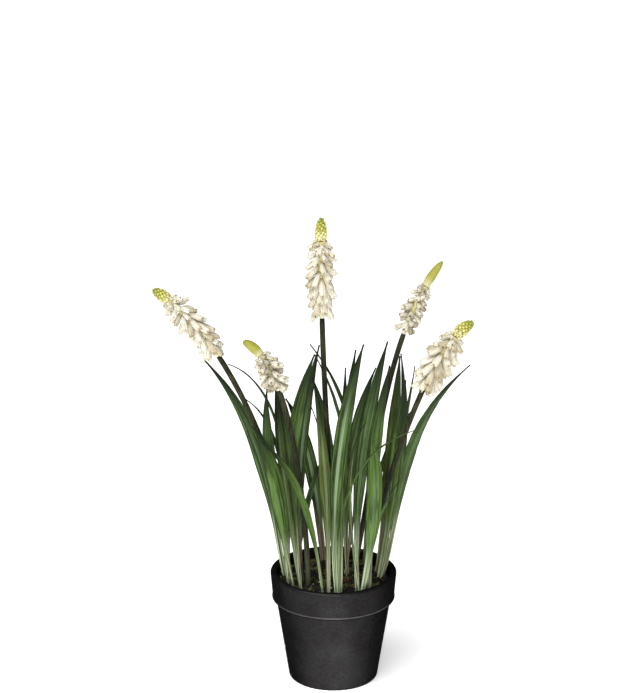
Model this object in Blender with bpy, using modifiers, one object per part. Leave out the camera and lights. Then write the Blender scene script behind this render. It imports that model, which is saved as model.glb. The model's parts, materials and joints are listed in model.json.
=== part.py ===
"""A potted grape hyacinth: five white flower spikes and grassy leaf tufts in a round black pot.

Metres, +Z up. The origin is the middle of the pot's flat underside, and the plant's front faces -Y.
"""

import math
import random
from collections import namedtuple

import bmesh
import bpy
import numpy as np
from mathutils import Matrix, Vector, noise

MM = 0.001
GAP = 0.3 * MM  # clearance between pieces that touch

# Pot: a tapered round pot with a deep rim band.
POT_HEIGHT = 71.3 * MM
RIM_RADIUS = 40.0 * MM
LIP_WIDTH = 4.0 * MM
RIM_DEPTH = 17.5 * MM
RIM_TAPER = 1.4 * MM
RIM_STEP = 2.2 * MM  # how far the band stands out from the wall below it
BASE_RADIUS = 28.1 * MM
WALL = 2.0 * MM
FLOOR = 3.0 * MM
POT_STEPS = 36

# Fill: a firm block that holds the stems, with a crust of dark crumbs on it.
SOIL_TOP = 66.0 * MM
CRUST_BOTTOM = 60.0 * MM
CRUST_RINGS = 4
CRUST_RELIEF = 1.8 * MM
FILL_STEPS = 22
ROUNDNESS = 0.3 * MM  # extra room between two round pieces with unlike numbers of sides
CRUST_GRAIN = 9.0 * MM  # distance from one lump of the crust to the next
BLOCK_DRAFT = 1.5 * MM  # how much further the block's foot stays off the pot's wall

# Stems: plastic-sleeved rods, bare at the top where the bloom is pushed on.
STEM_RADIUS = 1.7 * MM
STEM_DEPTH = 30.0 * MM  # how far a stem is pushed in below the soil's top
SPIGOT_RADIUS = 0.8 * MM
SPIGOT_LENGTH = 6.0 * MM
STEM_POINTS = 7
BUTT_GAP = 0.45 * MM  # room between a stem, its bloom and its buds, which meet at a slight slant

# Blooms: a slim core, covered in hanging florets.
CORE_RADIUS = 1.9 * MM
CORE_TOP_RADIUS = 1.8 * MM
CORE_POINTS = 6
GOLDEN_ANGLE = math.radians(137.5)
FLORET_SIDES = 5
FLORET_RINGS = 3
FLORET_SINK = 0.8 * MM
DROP_NECK = 0.62  # width of an open floret near its root, and what it gains on the way to its end
DROP_SWELL = 0.75
BARREL_NECK = 0.6  # width of a young floret's root, as a share of its end's
SIDE_SCATTER = 0.25  # greatest strays of a floret round the core, in radians, and up or down, in degrees
DIP_SCATTER = 10.0
DIP_SHARES = (0, 0.2, 0.5, 0.8, 1)  # shares of the way up a bloom that the dips are given for
SAG = 0.35  # how much a floret's own weight turns it down, against one unit of its direction
TOP_SIZE = 0.66  # size of the uppermost florets, as a share of the lower ones'
BUD_SIDES = 10
BUD_RINGS = 9
BUD_FOOT = 0.86  # width of a bud cone at its foot, and at its flat end, as shares of its greatest
BUD_END = 0.25
BEAD_RELIEF = 0.45 * MM  # how far the tight buds of an open spike's tip stand out
SMOOTH_RELIEF = 0.12 * MM  # and those of a young spike's

# Leaves: folded blades on slender stalks.
BLADE_THICKNESS = 0.65 * MM
BLADE_TWIST = 14.0  # degrees, from root to tip
BLADE_FOLD = 0.34  # depth of the fold, as a share of half the width
BLADE_STATIONS = (0.0, 0.2, 0.36, 0.5, 0.64, 0.77, 0.87, 0.94, 1.0)
BLADE_POINT = 1.0 * MM
FOLD_RISE = 30.0  # how strongly the folds open upwards, against opening towards the leaf's root
FOLD_SHARE = 0.6  # share of a leaf's length at which that is settled for the whole leaf
STALK_SHARE = 0.36  # width of the stalk, as a share of the blade's
PLUG_DEPTH = SOIL_TOP - CRUST_BOTTOM  # the tufts stand in the crust, on the block
PLUG_PROUD = 0.3 * MM
PLUG_MARGIN = 1.7 * MM
PLUG_SIDES = 8
LEAF_SINK = 3.0 * MM

# A flower's axis is a Bezier curve through these handles, in millimetres: root, two handles, tip. bloom is
# the length that the florets cover, of which the lead is bare below their roots. bud is a length, a greatest
# width and a bluntness, and floret a length and a greatest width. dips are how far the florets hang below
# level, in degrees, from the foot of the bloom to its top. An open spike has drops and a beaded tip, a young
# one has cups and a smooth tip.
Flower = namedtuple("Flower", "root lower upper tip bloom lead bud floret florets dips is_open")
FLOWERS = {
    "centre": Flower(
        (1, 5, 66), (-3, 2, 148), (-9, -1, 227), (-8, -2, 302),
        bloom=49, lead=9.0, bud=(15, 8.5, 2.1), floret=(10.4, 3.9), florets=49,
        dips=(60, 50, 28, 16, 24), is_open=True,
    ),
    "left": Flower(
        (-20, -3, 66), (-29, -6, 124), (-60, -10, 230), (-110, -14, 260),
        bloom=47, lead=8.5, bud=(12, 8.2, 2.5), floret=(10.0, 3.8), florets=49,
        dips=(60, 52, 38, 20, 16), is_open=True,
    ),
    "low_left": Flower(
        (-16, -10, 66), (-16, -14, 90), (-22, -25, 218), (-55, -30, 232),
        bloom=26, lead=4.0, bud=(14, 6.2, 4.0), floret=(6.4, 3.7), florets=35,
        dips=(32, 16, 4, 6, 24), is_open=False,
    ),
    "high_right": Flower(
        (13, 13, 66), (26, 15, 123), (29, 18, 221), (67, 20, 268),
        bloom=33, lead=4.5, bud=(19, 5.9, 2.6), floret=(5.6, 3.5), florets=33,
        dips=(30, 14, 2, 6, 20), is_open=False,
    ),
    "right": Flower(
        (20, -6, 66), (23, -14, 102), (53, -22, 229), (84, -26, 243),
        bloom=38.5, lead=5.5, bud=(14.5, 8.6, 3.0), floret=(10.6, 4.0), florets=44,
        dips=(50, 38, 26, 12, 20), is_open=True,
    ),
}

# Leaf tufts, in millimetres: each leaf rises from its root towards its bend, then arches over to its tip.
# turn is the direction, in degrees from +X, that the blade's width lies in, and whip the share of its
# length that tapers to the point. A leaf that leans out over the rim has one more handle, its foot.
Leaf = namedtuple("Leaf", "root bend tip width turn whip foot", defaults=(0.32, None))
TUFTS = {
    "far_left": (
        Leaf((-31, 4), (-40, -3, 168), (-80, -6, 213), 8.5, 10, 0.52, (-39, 1, 108)),
        Leaf((-29, 7), (-24, 9, 191), (-66, 12, 204), 4.8, 80),
        Leaf((-30, 7), (-27, 4, 166), (-55, 14, 180), 4.6, 70),
    ),
    "left_front": (
        Leaf((-28, -9), (-33, -28, 157), (-50, -27, 177), 9.5, 15),
        Leaf((-26, -12), (-45, -21, 163), (-41, -12, 196), 7.5, -20),
    ),
    "left_inner": (
        Leaf((-21, -17), (-36, -4, 161), (-36, -5, 196), 6.5, 30),
        Leaf((-21, -16), (-27, -11, 165), (-36, -8, 195), 6.0, 40),
    ),
    "left_middle": (
        Leaf((-21, 4), (-36, -4, 153), (-12, -12, 218), 8.0, -15),
        Leaf((-20, 5), (-26, -2, 147), (-9, -2, 221), 7.5, 20),
        Leaf((-22, 7), (-20, 6, 113), (-4, 8, 149), 5.0, 40),
    ),
    "back_left": (
        Leaf((-6, 29), (-12, 20, 150), (-30, 16, 180), 8.5, 10),
        Leaf((-8, 29), (-12, 24, 102), (-17, 24, 150), 3.6, 60),
        Leaf((-5, 30), (1, 27, 131), (-14, 22, 172), 3.6, 80),
    ),
    "front_left": (
        Leaf((-7, -25), (-15, -33, 146), (-44, -42, 172), 4.6, 25),
        Leaf((-3, -26), (-3, -12, 154), (-13, -6, 200), 8.0, -20, 0.55),
    ),
    "front_centre": (
        Leaf((2, -25), (-5, -18, 152), (18, -10, 224), 9.0, 5),
        Leaf((4, -24), (5, -10, 160), (7, -4, 207), 6.5, 30),
        Leaf((4, -26), (-4, -33, 159), (49, -48, 182), 4.6, 75),
    ),
    "centre": (
        Leaf((9, 6), (4, 0, 152), (26, 8, 203), 7.5, 20),
        Leaf((7, 7), (26, 9, 165), (-15, 12, 217), 4.6, 60),
        Leaf((8, 4), (16, 3, 160), (-12, -6, 216), 4.6, 65),
    ),
    "right_front": (
        Leaf((15, -21), (11, -9, 149), (33, 2, 222), 8.0, -10),
        Leaf((18, -22), (29, -27, 132), (23, -28, 168), 9.4, 0, 0.22),
        Leaf((16, -22), (3, -12, 147), (19, -30, 180), 4.0, 50),
    ),
    "right_inner": (
        Leaf((22, -17), (21, -13, 161), (34, -9, 209), 7.5, 10),
        Leaf((24, -15), (21, -19, 106), (40, -26, 141), 4.0, 60),
    ),
    "right_middle": (
        Leaf((29, 1), (41, -1, 144), (44, -4, 199), 9.5, 0),
        Leaf((31, 1), (36, 3, 162), (84, 1, 207), 8.0, 20, 0.5, (44, 3, 106)),
    ),
    "far_right": (
        Leaf((28, 9), (36, 9, 146), (41, 13, 209), 7.5, 5),
        Leaf((28, 10), (51, 19, 143), (42, 21, 208), 6.0, 40),
        Leaf((29, 9), (40, 9, 156), (73, 9, 193), 5.0, 60, 0.4, (46, 12, 106)),
        Leaf((27, 10), (44, 20, 146), (51, 24, 199), 4.6, 50),
    ),
    "back_centre": (
        Leaf((2, 25), (6, 24, 160), (14, 38, 205), 6.5, 10),
        Leaf((3, 27), (0, 40, 150), (-14, 62, 180), 6.0, 30),
    ),
    "back_right": (
        Leaf((20, 22), (26, 34, 150), (36, 52, 190), 6.5, -30),
        Leaf((22, 20), (24, 26, 140), (54, 40, 168), 5.0, -60),
    ),
    "back_far_left": (
        Leaf((-21, 19), (-30, 28, 150), (-38, 46, 188), 6.5, 40),
        Leaf((-22, 17), (-36, 24, 140), (-62, 34, 166), 5.0, 60),
    ),
}

BLACK_PLASTIC = ("black_plastic", (0.022, 0.022, 0.023), 0.55)
FOAM = ("dry_foam", (0.10, 0.09, 0.06), 0.95)
CRUMBS = ("dark_crumbs", (0.020, 0.016, 0.011), 0.95)
STEM_PLASTIC = ("stem_plastic", (0.055, 0.060, 0.045), 0.5)
CREAM = ("cream_florets", (0.83, 0.78, 0.62), 0.6)
BUD_GREEN = ("green_buds", (0.45, 0.48, 0.06), 0.55)
LEAF_GREEN = ("leaf_green", (0.07, 0.13, 0.03), 0.55)


def clear_scene():
    for obj in list(bpy.data.objects):
        bpy.data.objects.remove(obj, do_unlink=True)


def new_collection(name):
    collection = bpy.data.collections.new(name)
    bpy.context.scene.collection.children.link(collection)
    return collection


def finish(look):
    """The Principled material of a look: its name, colour and roughness."""
    name, colour, roughness = look
    material = bpy.data.materials.get(name)
    if material is None:
        material = bpy.data.materials.new(name)
        material.use_nodes = True
        shader = material.node_tree.nodes["Principled BSDF"]
        shader.inputs["Base Color"].default_value = (*colour, 1)
        shader.inputs["Roughness"].default_value = roughness
        shader.inputs["Metallic"].default_value = 0.0
        material.diffuse_color = (*colour, 1)
    return material


def add_object(name, data, collection, look=None):
    obj = bpy.data.objects.new(name, data)
    collection.objects.link(obj)
    if look:
        data.materials.append(finish(look))
    return obj


def settled(obj):
    """The object with its curve or modifiers turned into a plain mesh, welded where caps meet sides."""
    bpy.context.view_layer.update()
    graph = bpy.context.evaluated_depsgraph_get()
    mesh = bpy.data.meshes.new_from_object(obj.evaluated_get(graph))
    form = bmesh.new()
    form.from_mesh(mesh)
    bmesh.ops.remove_doubles(form, verts=form.verts, dist=0.001 * MM)
    form.to_mesh(mesh)
    form.free()
    name, place = obj.name, obj.matrix_world.copy()
    collections = list(obj.users_collection)
    bpy.data.objects.remove(obj, do_unlink=True)
    plain = bpy.data.objects.new(name, mesh)
    plain.matrix_world = place
    for collection in collections:
        collection.objects.link(plain)
    return plain


def boolean(obj, collection, operation):
    modifier = obj.modifiers.new(f"{operation.lower()} {collection.name}", "BOOLEAN")
    modifier.operation = operation
    modifier.operand_type = "COLLECTION"
    modifier.collection = collection
    modifier.solver = "EXACT"


def fused(base, pieces):
    """The base object with every object of the collection joined to it, and the collection emptied."""
    boolean(base, pieces, "UNION")
    whole = settled(base)
    for obj in list(pieces.objects):
        bpy.data.objects.remove(obj, do_unlink=True)
    bpy.data.collections.remove(pieces)
    return whole


def smooth(obj, degrees=40):
    obj.data.shade_smooth()
    obj.data.set_sharp_from_angle(angle=math.radians(degrees))


def bezier(handles, t):
    """The point at t on the Bezier curve of any number of handles."""
    points = [Vector(handle) for handle in handles]
    while len(points) > 1:
        points = [a.lerp(b, t) for a, b in zip(points, points[1:])]
    return points[0]


class Path:
    """A Bezier curve through handles in millimetres, read by the distance along it in metres."""

    SAMPLES = 160

    def __init__(self, handles):
        scaled = [Vector(handle) * MM for handle in handles]
        self.points = np.array([bezier(scaled, i / self.SAMPLES) for i in range(self.SAMPLES + 1)])
        steps = np.linalg.norm(np.diff(self.points, axis=0), axis=1)
        self.distances = np.concatenate([[0], np.cumsum(steps)])
        self.length = self.distances[-1]

    def at(self, distance):
        return Vector([np.interp(distance, self.distances, self.points[:, k]) for k in range(3)])

    def heading(self, distance):
        step = 0.5 * MM
        return (self.at(distance + step) - self.at(distance - step)).normalized()


def basis(origin, forward):
    """A matrix that places a shape made along +Z at origin, pointing forward."""
    return Matrix.Translation(origin) @ forward.to_track_quat("Z", "Y").to_matrix().to_4x4()


def rounded(corners, arc_steps=2):
    """Outline of (radius, height, rounding) corners, with an arc in place of each rounded one."""
    outline = []
    for i, (radius, height, rounding) in enumerate(corners):
        corner = Vector((radius, height))
        if not rounding:
            outline.append(corner)
            continue
        back = (Vector(corners[i - 1][:2]) - corner).normalized()
        ahead = (Vector(corners[i + 1][:2]) - corner).normalized()
        half = back.angle(ahead) / 2
        centre = corner + (back + ahead).normalized() * rounding / math.sin(half)
        reach = rounding / math.tan(half)
        for k in range(arc_steps + 1):
            spoke = (back * reach).lerp(ahead * reach, k / arc_steps) + corner - centre
            outline.append(centre + spoke.normalized() * rounding)
    return outline


def turned(name, outline, steps, collection, look):
    """A Screw of an outline that runs down its outer side, from the axis to the axis."""
    mesh = bpy.data.meshes.new(name)
    links = [(i, i + 1) for i in range(len(outline) - 1)]
    mesh.from_pydata([(point[0], 0, point[1]) for point in outline], links, [])
    obj = add_object(name, mesh, collection, look)
    screw = obj.modifiers.new("turn", "SCREW")
    screw.axis = "Z"
    screw.steps = screw.render_steps = steps
    screw.use_merge_vertices = True
    screw.merge_threshold = 0.01 * MM
    return settled(obj)


def tube(name, points, radii, collection, look=None):
    """A round bar along the points, with its own radius at each of them, as a curve with filled caps."""
    curve = bpy.data.curves.new(name, "CURVE")
    curve.dimensions = "3D"
    curve.bevel_depth = 1.0
    curve.bevel_resolution = 2
    curve.use_fill_caps = True
    spline = curve.splines.new("POLY")
    spline.points.add(len(points) - 1)
    for point, place, radius in zip(spline.points, points, radii):
        point.co = (*place, 1)
        point.radius = radius
    return settled(add_object(name, curve, collection, look))


def cylinder(name, bottom, forward, length, radius, sides, collection, look=None):
    """A cylinder from its bottom centre along forward."""
    form = bmesh.new()
    bmesh.ops.create_cone(
        form, cap_ends=True, segments=sides, radius1=radius, radius2=radius, depth=length,
        matrix=Matrix.Translation((0, 0, length / 2)),
    )
    mesh = bpy.data.meshes.new(name)
    form.to_mesh(mesh)
    form.free()
    obj = add_object(name, mesh, collection, look)
    obj.matrix_world = basis(bottom, forward)
    return obj


def inner_radius(height):
    """Inside radius of the pot at a height."""
    top = RIM_RADIUS - LIP_WIDTH
    knee = POT_HEIGHT - RIM_DEPTH
    knee_radius = RIM_RADIUS - RIM_TAPER - RIM_STEP - WALL
    return float(np.interp(height, [0, knee, POT_HEIGHT], [BASE_RADIUS - WALL, knee_radius, top]))


def make_pot(collection):
    knee = POT_HEIGHT - RIM_DEPTH
    band_foot = RIM_RADIUS - RIM_TAPER
    outline = rounded([
        (0, FLOOR, 0),
        (inner_radius(FLOOR), FLOOR, 0),
        (inner_radius(knee), knee, 0),
        (RIM_RADIUS - LIP_WIDTH, POT_HEIGHT, 0.6 * MM),
        (RIM_RADIUS, POT_HEIGHT, 1.2 * MM),
        (band_foot, knee, 0.8 * MM),
        (band_foot - RIM_STEP, knee - 0.3 * MM, 0),
        (BASE_RADIUS, 0, 1.0 * MM),
        (0, 0, 0),
    ])
    smooth(turned("pot", outline, POT_STEPS, collection, BLACK_PLASTIC), 50)


def flower_path(flower):
    return Path((flower.root, flower.lower, flower.upper, flower.tip))


def tuft_plug(leaves):
    """Centre and radius of the round plug that a tuft's leaves spring from."""
    roots = [Vector(leaf.root) * MM for leaf in leaves]
    centre = sum(roots, Vector((0, 0))) / len(roots)
    spread = max((root - centre).length for root in roots)
    return centre, spread + PLUG_MARGIN


def make_fill(collection, stem_holes, tuft_holes):
    """The firm block with a blind hole for each stem, and the crumb crust with holes for the tufts too."""
    block_top = CRUST_BOTTOM - GAP
    block_bottom = FLOOR + GAP
    inset = GAP + ROUNDNESS
    block_outline = [
        (0, block_top),
        (inner_radius(block_top) - inset, block_top),
        (inner_radius(POT_HEIGHT - RIM_DEPTH) - inset, POT_HEIGHT - RIM_DEPTH),
        (inner_radius(block_bottom) - inset - BLOCK_DRAFT, block_bottom),
        (0, block_bottom),
    ]
    block = turned("fill_block", block_outline, FILL_STEPS, collection, FOAM)

    edge = inner_radius(CRUST_BOTTOM) - inset
    radii = [edge * i / CRUST_RINGS for i in range(CRUST_RINGS + 1)]
    crust_outline = [(radius, SOIL_TOP) for radius in radii] + [(edge, CRUST_BOTTOM), (0, CRUST_BOTTOM)]
    crust = turned("soil_crust", crust_outline, FILL_STEPS, collection, CRUMBS)
    for vertex in crust.data.vertices:
        if vertex.co.z > CRUST_BOTTOM + GAP:
            vertex.co.z -= CRUST_RELIEF * abs(noise.noise(vertex.co / CRUST_GRAIN))

    for name, flower in FLOWERS.items():
        path = flower_path(flower)
        radius = (STEM_RADIUS + GAP) / math.cos(math.pi / PLUG_SIDES)
        bottom = path.at(0) - path.heading(0) * (STEM_DEPTH + GAP)
        length = 1.5 * STEM_DEPTH
        cylinder("hole_" + name, bottom, path.heading(0), length, radius, PLUG_SIDES, stem_holes)
    for name, leaves in TUFTS.items():
        centre, radius = tuft_plug(leaves)
        bottom = Vector((*centre, CRUST_BOTTOM - MM))
        hole_radius = (radius + GAP) / math.cos(math.pi / PLUG_SIDES)
        up = Vector((0, 0, 1))
        cylinder("pit_" + name, bottom, up, 2 * PLUG_DEPTH, hole_radius, PLUG_SIDES, tuft_holes)
    for cutter in [*stem_holes.objects, *tuft_holes.objects]:
        cutter.hide_render = True
        cutter.display_type = "WIRE"
    boolean(block, stem_holes, "DIFFERENCE")
    boolean(crust, stem_holes, "DIFFERENCE")
    boolean(crust, tuft_holes, "DIFFERENCE")


def floret_mesh(is_open):
    """A floret along +Z from its root at the origin, one unit long and one wide.

    On the open spikes it is a drop, widest near its outer end, and on the young ones a flat-ended barrel.
    """
    form = bmesh.new()
    if is_open:
        bmesh.ops.create_uvsphere(form, u_segments=FLORET_SIDES, v_segments=FLORET_RINGS, radius=0.5)
        for vertex in form.verts:
            along = vertex.co.z + 0.5
            vertex.co.x *= DROP_NECK + DROP_SWELL * along
            vertex.co.y *= DROP_NECK + DROP_SWELL * along
            vertex.co.z = along
    else:
        bmesh.ops.create_cone(
            form, cap_ends=True, segments=FLORET_SIDES, radius1=BARREL_NECK / 2, radius2=0.5, depth=1,
            matrix=Matrix.Translation((0, 0, 0.5)),
        )
    mesh = bpy.data.meshes.new("floret")
    form.to_mesh(mesh)
    form.free()
    return mesh


def floret_place(path, start, flower, k, draw):
    """Place, direction and size of floret k of a spike whose bloom starts at start."""
    share = (k + 0.5) / flower.florets
    distance = start + (flower.lead + (flower.bloom - flower.lead) * share) * MM
    axis = path.heading(distance)
    side = axis.orthogonal().normalized()
    side.rotate(Matrix.Rotation(k * GOLDEN_ANGLE + draw.uniform(-SIDE_SCATTER, SIDE_SCATTER), 3, axis))
    dip = math.radians(np.interp(share, DIP_SHARES, flower.dips) + draw.uniform(-DIP_SCATTER, DIP_SCATTER))
    size = np.interp(share, (0.5, 1), (1, TOP_SIZE))
    forward = side * math.cos(dip) - axis * math.sin(dip)
    forward.z -= SAG
    core = np.interp(share, [0, 1], [CORE_RADIUS, CORE_TOP_RADIUS])
    root = path.at(distance) + side * (core - FLORET_SINK)
    length, width = (measure * MM * size for measure in flower.floret)
    return basis(root, forward) @ Matrix.Diagonal((width, width, length + FLORET_SINK, 1))


def make_bloom(name, flower, path, start, collection):
    """A core with its florets fused on, and a socket in its foot for the stem's spigot."""
    draw = random.Random(name)
    end = start + flower.bloom * MM
    distances = np.linspace(start, end, CORE_POINTS)
    radii = np.linspace(CORE_RADIUS, CORE_TOP_RADIUS, CORE_POINTS)
    core = tube("bloom_" + name, [path.at(d) for d in distances], radii, collection, CREAM)
    florets = new_collection("florets_" + name)
    mesh = floret_mesh(flower.is_open)
    mesh.materials.append(finish(CREAM))
    for k in range(flower.florets):
        floret = add_object(f"floret_{name}_{k}", mesh, florets)
        floret.matrix_world = floret_place(path, start, flower, k, draw)
    bloom = fused(core, florets)
    socket = new_collection("socket_" + name)
    bottom = path.at(start) - path.heading(start) * SPIGOT_LENGTH
    cutter_radius = (SPIGOT_RADIUS + GAP) / math.cos(math.pi / PLUG_SIDES)
    length = 2 * SPIGOT_LENGTH + GAP
    cylinder("socket_" + name, bottom, path.heading(start), length, cutter_radius, PLUG_SIDES, socket)
    boolean(bloom, socket, "DIFFERENCE")
    bloom = settled(bloom)
    for obj in list(socket.objects):
        bpy.data.objects.remove(obj, do_unlink=True)
    bpy.data.collections.remove(socket)
    smooth(bloom, 60)


def bud_radius(share, widest, bluntness):
    """Radius of a bud cone, full near its foot and rounded off to its tip."""
    belly = (1 - share**bluntness) ** 0.5
    foot = BUD_FOOT + (1 - BUD_FOOT) * eased(share, 0, 0.3)
    return max(widest * belly * foot, widest * BUD_END)


def make_bud(name, flower, path, collection):
    """The closed green buds at the tip: a cone of rings whose points stand out and in by turns."""
    length, width, bluntness = flower.bud
    start = path.length - length * MM + BUTT_GAP
    relief = BEAD_RELIEF if flower.is_open else SMOOTH_RELIEF
    form = bmesh.new()
    rings = []
    for i in range(BUD_RINGS + 1):
        share = i / BUD_RINGS
        distance = start + (path.length - start) * share
        place = basis(path.at(distance), path.heading(distance))
        ring = []
        for j in range(BUD_SIDES):
            angle = 2 * math.pi * j / BUD_SIDES
            raised = relief if (i + j) % 2 else -relief
            radius = bud_radius(share, width * MM / 2 - relief, bluntness) + raised * (0 < i < BUD_RINGS)
            spoke = Vector((radius * math.cos(angle), radius * math.sin(angle), 0))
            ring.append(form.verts.new(place @ spoke))
        rings.append(ring)
    for low, high in zip(rings, rings[1:]):
        for j in range(BUD_SIDES):
            k = (j + 1) % BUD_SIDES
            form.faces.new((low[j], low[k], high[k], high[j]))
    form.faces.new(list(reversed(rings[0])))
    form.faces.new(rings[-1])
    bmesh.ops.triangulate(form, faces=form.faces)
    mesh = bpy.data.meshes.new("buds_" + name)
    form.to_mesh(mesh)
    form.free()
    smooth(add_object("buds_" + name, mesh, collection, BUD_GREEN), 60)


def make_flower(name, flower, collection):
    path = flower_path(flower)
    start = path.length - (flower.bloom + flower.bud[0]) * MM
    distances = list(np.linspace(0, start - BUTT_GAP, STEM_POINTS))
    points = [path.at(0) - path.heading(0) * STEM_DEPTH] + [path.at(d) for d in distances]
    radii = [STEM_RADIUS] * len(points)
    ahead = path.heading(start)
    top = points[-1]
    points += [top + ahead * 0.05 * MM, top + ahead * SPIGOT_LENGTH]
    radii += [SPIGOT_RADIUS, SPIGOT_RADIUS]
    smooth(tube("stem_" + name, points, radii, collection, STEM_PLASTIC))
    make_bloom(name, flower, path, start, collection)
    make_bud(name, flower, path, collection)


def eased(value, low, high):
    """0 below low, 1 above high, and a smooth step between."""
    share = min(max((value - low) / (high - low), 0.0), 1.0)
    return share * share * (3 - 2 * share)


def blade_width(share, whip):
    """Width of a leaf at a share of its length, as a part of its widest."""
    stalk = STALK_SHARE * (0.8 + 0.2 * eased(share, 0, 0.15))
    widening = stalk + (1 - STALK_SHARE) * eased(share, 0.18, 0.52)
    return widening * (1 - max(0.0, (share - 1 + whip) / whip) ** 1.2)


def across_way(leaf, share, along):
    """The direction of the leaf's width at a share of its length, square to the path."""
    turn = math.radians(leaf.turn + BLADE_TWIST * (share - 0.5))
    way = Vector((math.cos(turn), math.sin(turn), 0))
    return (way - along * way.dot(along)).normalized()


def fold_side(leaf, root, path):
    """1 or -1, so that in the leaf's upper part the fold opens towards its root and upwards."""
    along = path.heading(FOLD_SHARE * path.length)
    inner_side = Vector((root.x - leaf.tip[0], root.y - leaf.tip[1], FOLD_RISE))
    return math.copysign(1, along.cross(across_way(leaf, FOLD_SHARE, along)).dot(inner_side))


def make_blade(name, leaf, collection):
    """A strip with a fold along its middle, given its thickness by Solidify."""
    root = Vector((*leaf.root, SOIL_TOP / MM))
    path = Path([root, leaf.foot, leaf.bend, leaf.tip] if leaf.foot else [root, leaf.bend, leaf.tip])
    side = fold_side(leaf, root, path)
    form = bmesh.new()
    rows = []
    for share in BLADE_STATIONS:
        here = path.at(share * path.length)
        along = path.heading(share * path.length)
        if share == 0:
            here -= along * LEAF_SINK
        across = across_way(leaf, share, along)
        face = along.cross(across) * side
        half = max(blade_width(share, leaf.whip) * leaf.width * MM, BLADE_POINT) / 2
        lift = face * half * BLADE_FOLD
        rows.append([form.verts.new(here + across * half * s + lift * abs(s)) for s in (-1, 0, 1)])
    for low, high in zip(rows, rows[1:]):
        for k in (0, 1):
            form.faces.new((low[k], low[k + 1], high[k + 1], high[k]))
    bmesh.ops.triangulate(form, faces=form.faces)
    mesh = bpy.data.meshes.new(name)
    form.to_mesh(mesh)
    form.free()
    obj = add_object(name, mesh, collection, LEAF_GREEN)
    solidify = obj.modifiers.new("thickness", "SOLIDIFY")
    solidify.thickness = BLADE_THICKNESS
    solidify.offset = 0.0
    solidify.use_even_offset = True
    return settled(obj)


def make_tuft(name, leaves, collection):
    """Leaves fused to the plug that stands in its hole in the soil."""
    centre, radius = tuft_plug(leaves)
    bottom = Vector((*centre, SOIL_TOP - PLUG_DEPTH))
    length = PLUG_DEPTH + PLUG_PROUD
    up = Vector((0, 0, 1))
    plug = cylinder("leaves_" + name, bottom, up, length, radius, PLUG_SIDES, collection, LEAF_GREEN)
    blades = new_collection("blades_" + name)
    for k, leaf in enumerate(leaves):
        make_blade(f"blade_{name}_{k}", leaf, blades)
    smooth(fused(plug, blades), 50)


def main():
    clear_scene()
    plant = new_collection("potted_grape_hyacinth")
    make_pot(plant)
    make_fill(plant, new_collection("stem_holes"), new_collection("tuft_holes"))
    for name, flower in FLOWERS.items():
        make_flower(name, flower, plant)
    for name, leaves in TUFTS.items():
        make_tuft(name, leaves, plant)


main()
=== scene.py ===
# %% [markdown]
# # An artificial grape hyacinth in a black pot
# The real object is a small potted plant made of plastic and printed fabric: five flower spikes on dark
# stems, tufts of narrow leaves, dark crumbs, and a round pot. The imported CAD model gives the frame, and every
# piece here takes the place of one of its solids, or gives one a better finish. It is loaded first.

import json
import math
import random
from collections import namedtuple

import bmesh
import bpy
import numpy as np
from mathutils import Matrix, Vector, noise

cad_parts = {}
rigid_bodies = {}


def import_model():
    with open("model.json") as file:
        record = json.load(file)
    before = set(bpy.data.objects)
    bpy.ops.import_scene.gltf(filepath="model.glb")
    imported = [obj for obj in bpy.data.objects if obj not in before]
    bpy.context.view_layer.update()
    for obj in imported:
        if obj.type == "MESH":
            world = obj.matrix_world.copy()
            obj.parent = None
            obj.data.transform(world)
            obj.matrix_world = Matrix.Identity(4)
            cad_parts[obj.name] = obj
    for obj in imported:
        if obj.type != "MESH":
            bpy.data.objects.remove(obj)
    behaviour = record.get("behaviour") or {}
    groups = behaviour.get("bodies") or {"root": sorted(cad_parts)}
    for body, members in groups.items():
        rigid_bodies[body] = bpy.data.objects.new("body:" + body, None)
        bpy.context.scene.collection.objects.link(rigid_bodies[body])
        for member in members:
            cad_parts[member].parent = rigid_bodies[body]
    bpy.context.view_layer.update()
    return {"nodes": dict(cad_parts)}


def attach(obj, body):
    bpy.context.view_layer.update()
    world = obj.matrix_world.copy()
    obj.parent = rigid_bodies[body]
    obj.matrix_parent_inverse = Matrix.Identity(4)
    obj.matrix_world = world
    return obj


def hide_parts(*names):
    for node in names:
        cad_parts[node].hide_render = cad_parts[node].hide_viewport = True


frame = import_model()

# %% [markdown]
# ## Wires and graphs
# Materials and Geometry Nodes are both graphs of nodes. Building them by hand in the editor is quick to try
# and slow to repeat, so a small class wraps a socket and turns Python's arithmetic into Math nodes, and one
# method adds any other node: its settings first, then the values or links of its sockets.

# %% Wires and graphs
MM = 0.001


class Wire:
    """An output socket of a graph. Arithmetic on it adds Math nodes."""

    def __init__(self, graph, socket):
        self.graph = graph
        self.socket = socket

    def __add__(self, other):
        return self.graph.math("ADD", self, other)

    def __radd__(self, other):
        return self.graph.math("ADD", other, self)

    def __sub__(self, other):
        return self.graph.math("SUBTRACT", self, other)

    def __rsub__(self, other):
        return self.graph.math("SUBTRACT", other, self)

    def __mul__(self, other):
        return self.graph.math("MULTIPLY", self, other)

    def __truediv__(self, other):
        return self.graph.math("DIVIDE", self, other)

    def step(self, low, high):
        """0 at low and 1 at high, held beyond both, with a smooth step between them."""
        values = {"Value": self, "From Min": low, "From Max": high}
        return self.graph.node("ShaderNodeMapRange", {"interpolation_type": "SMOOTHSTEP"}, values)

    def band(self, start, low, high, end):
        """1 from low to high, and 0 before start and after end, with smooth steps between."""
        return self.step(start, low) * self.step(end, high)


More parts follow.
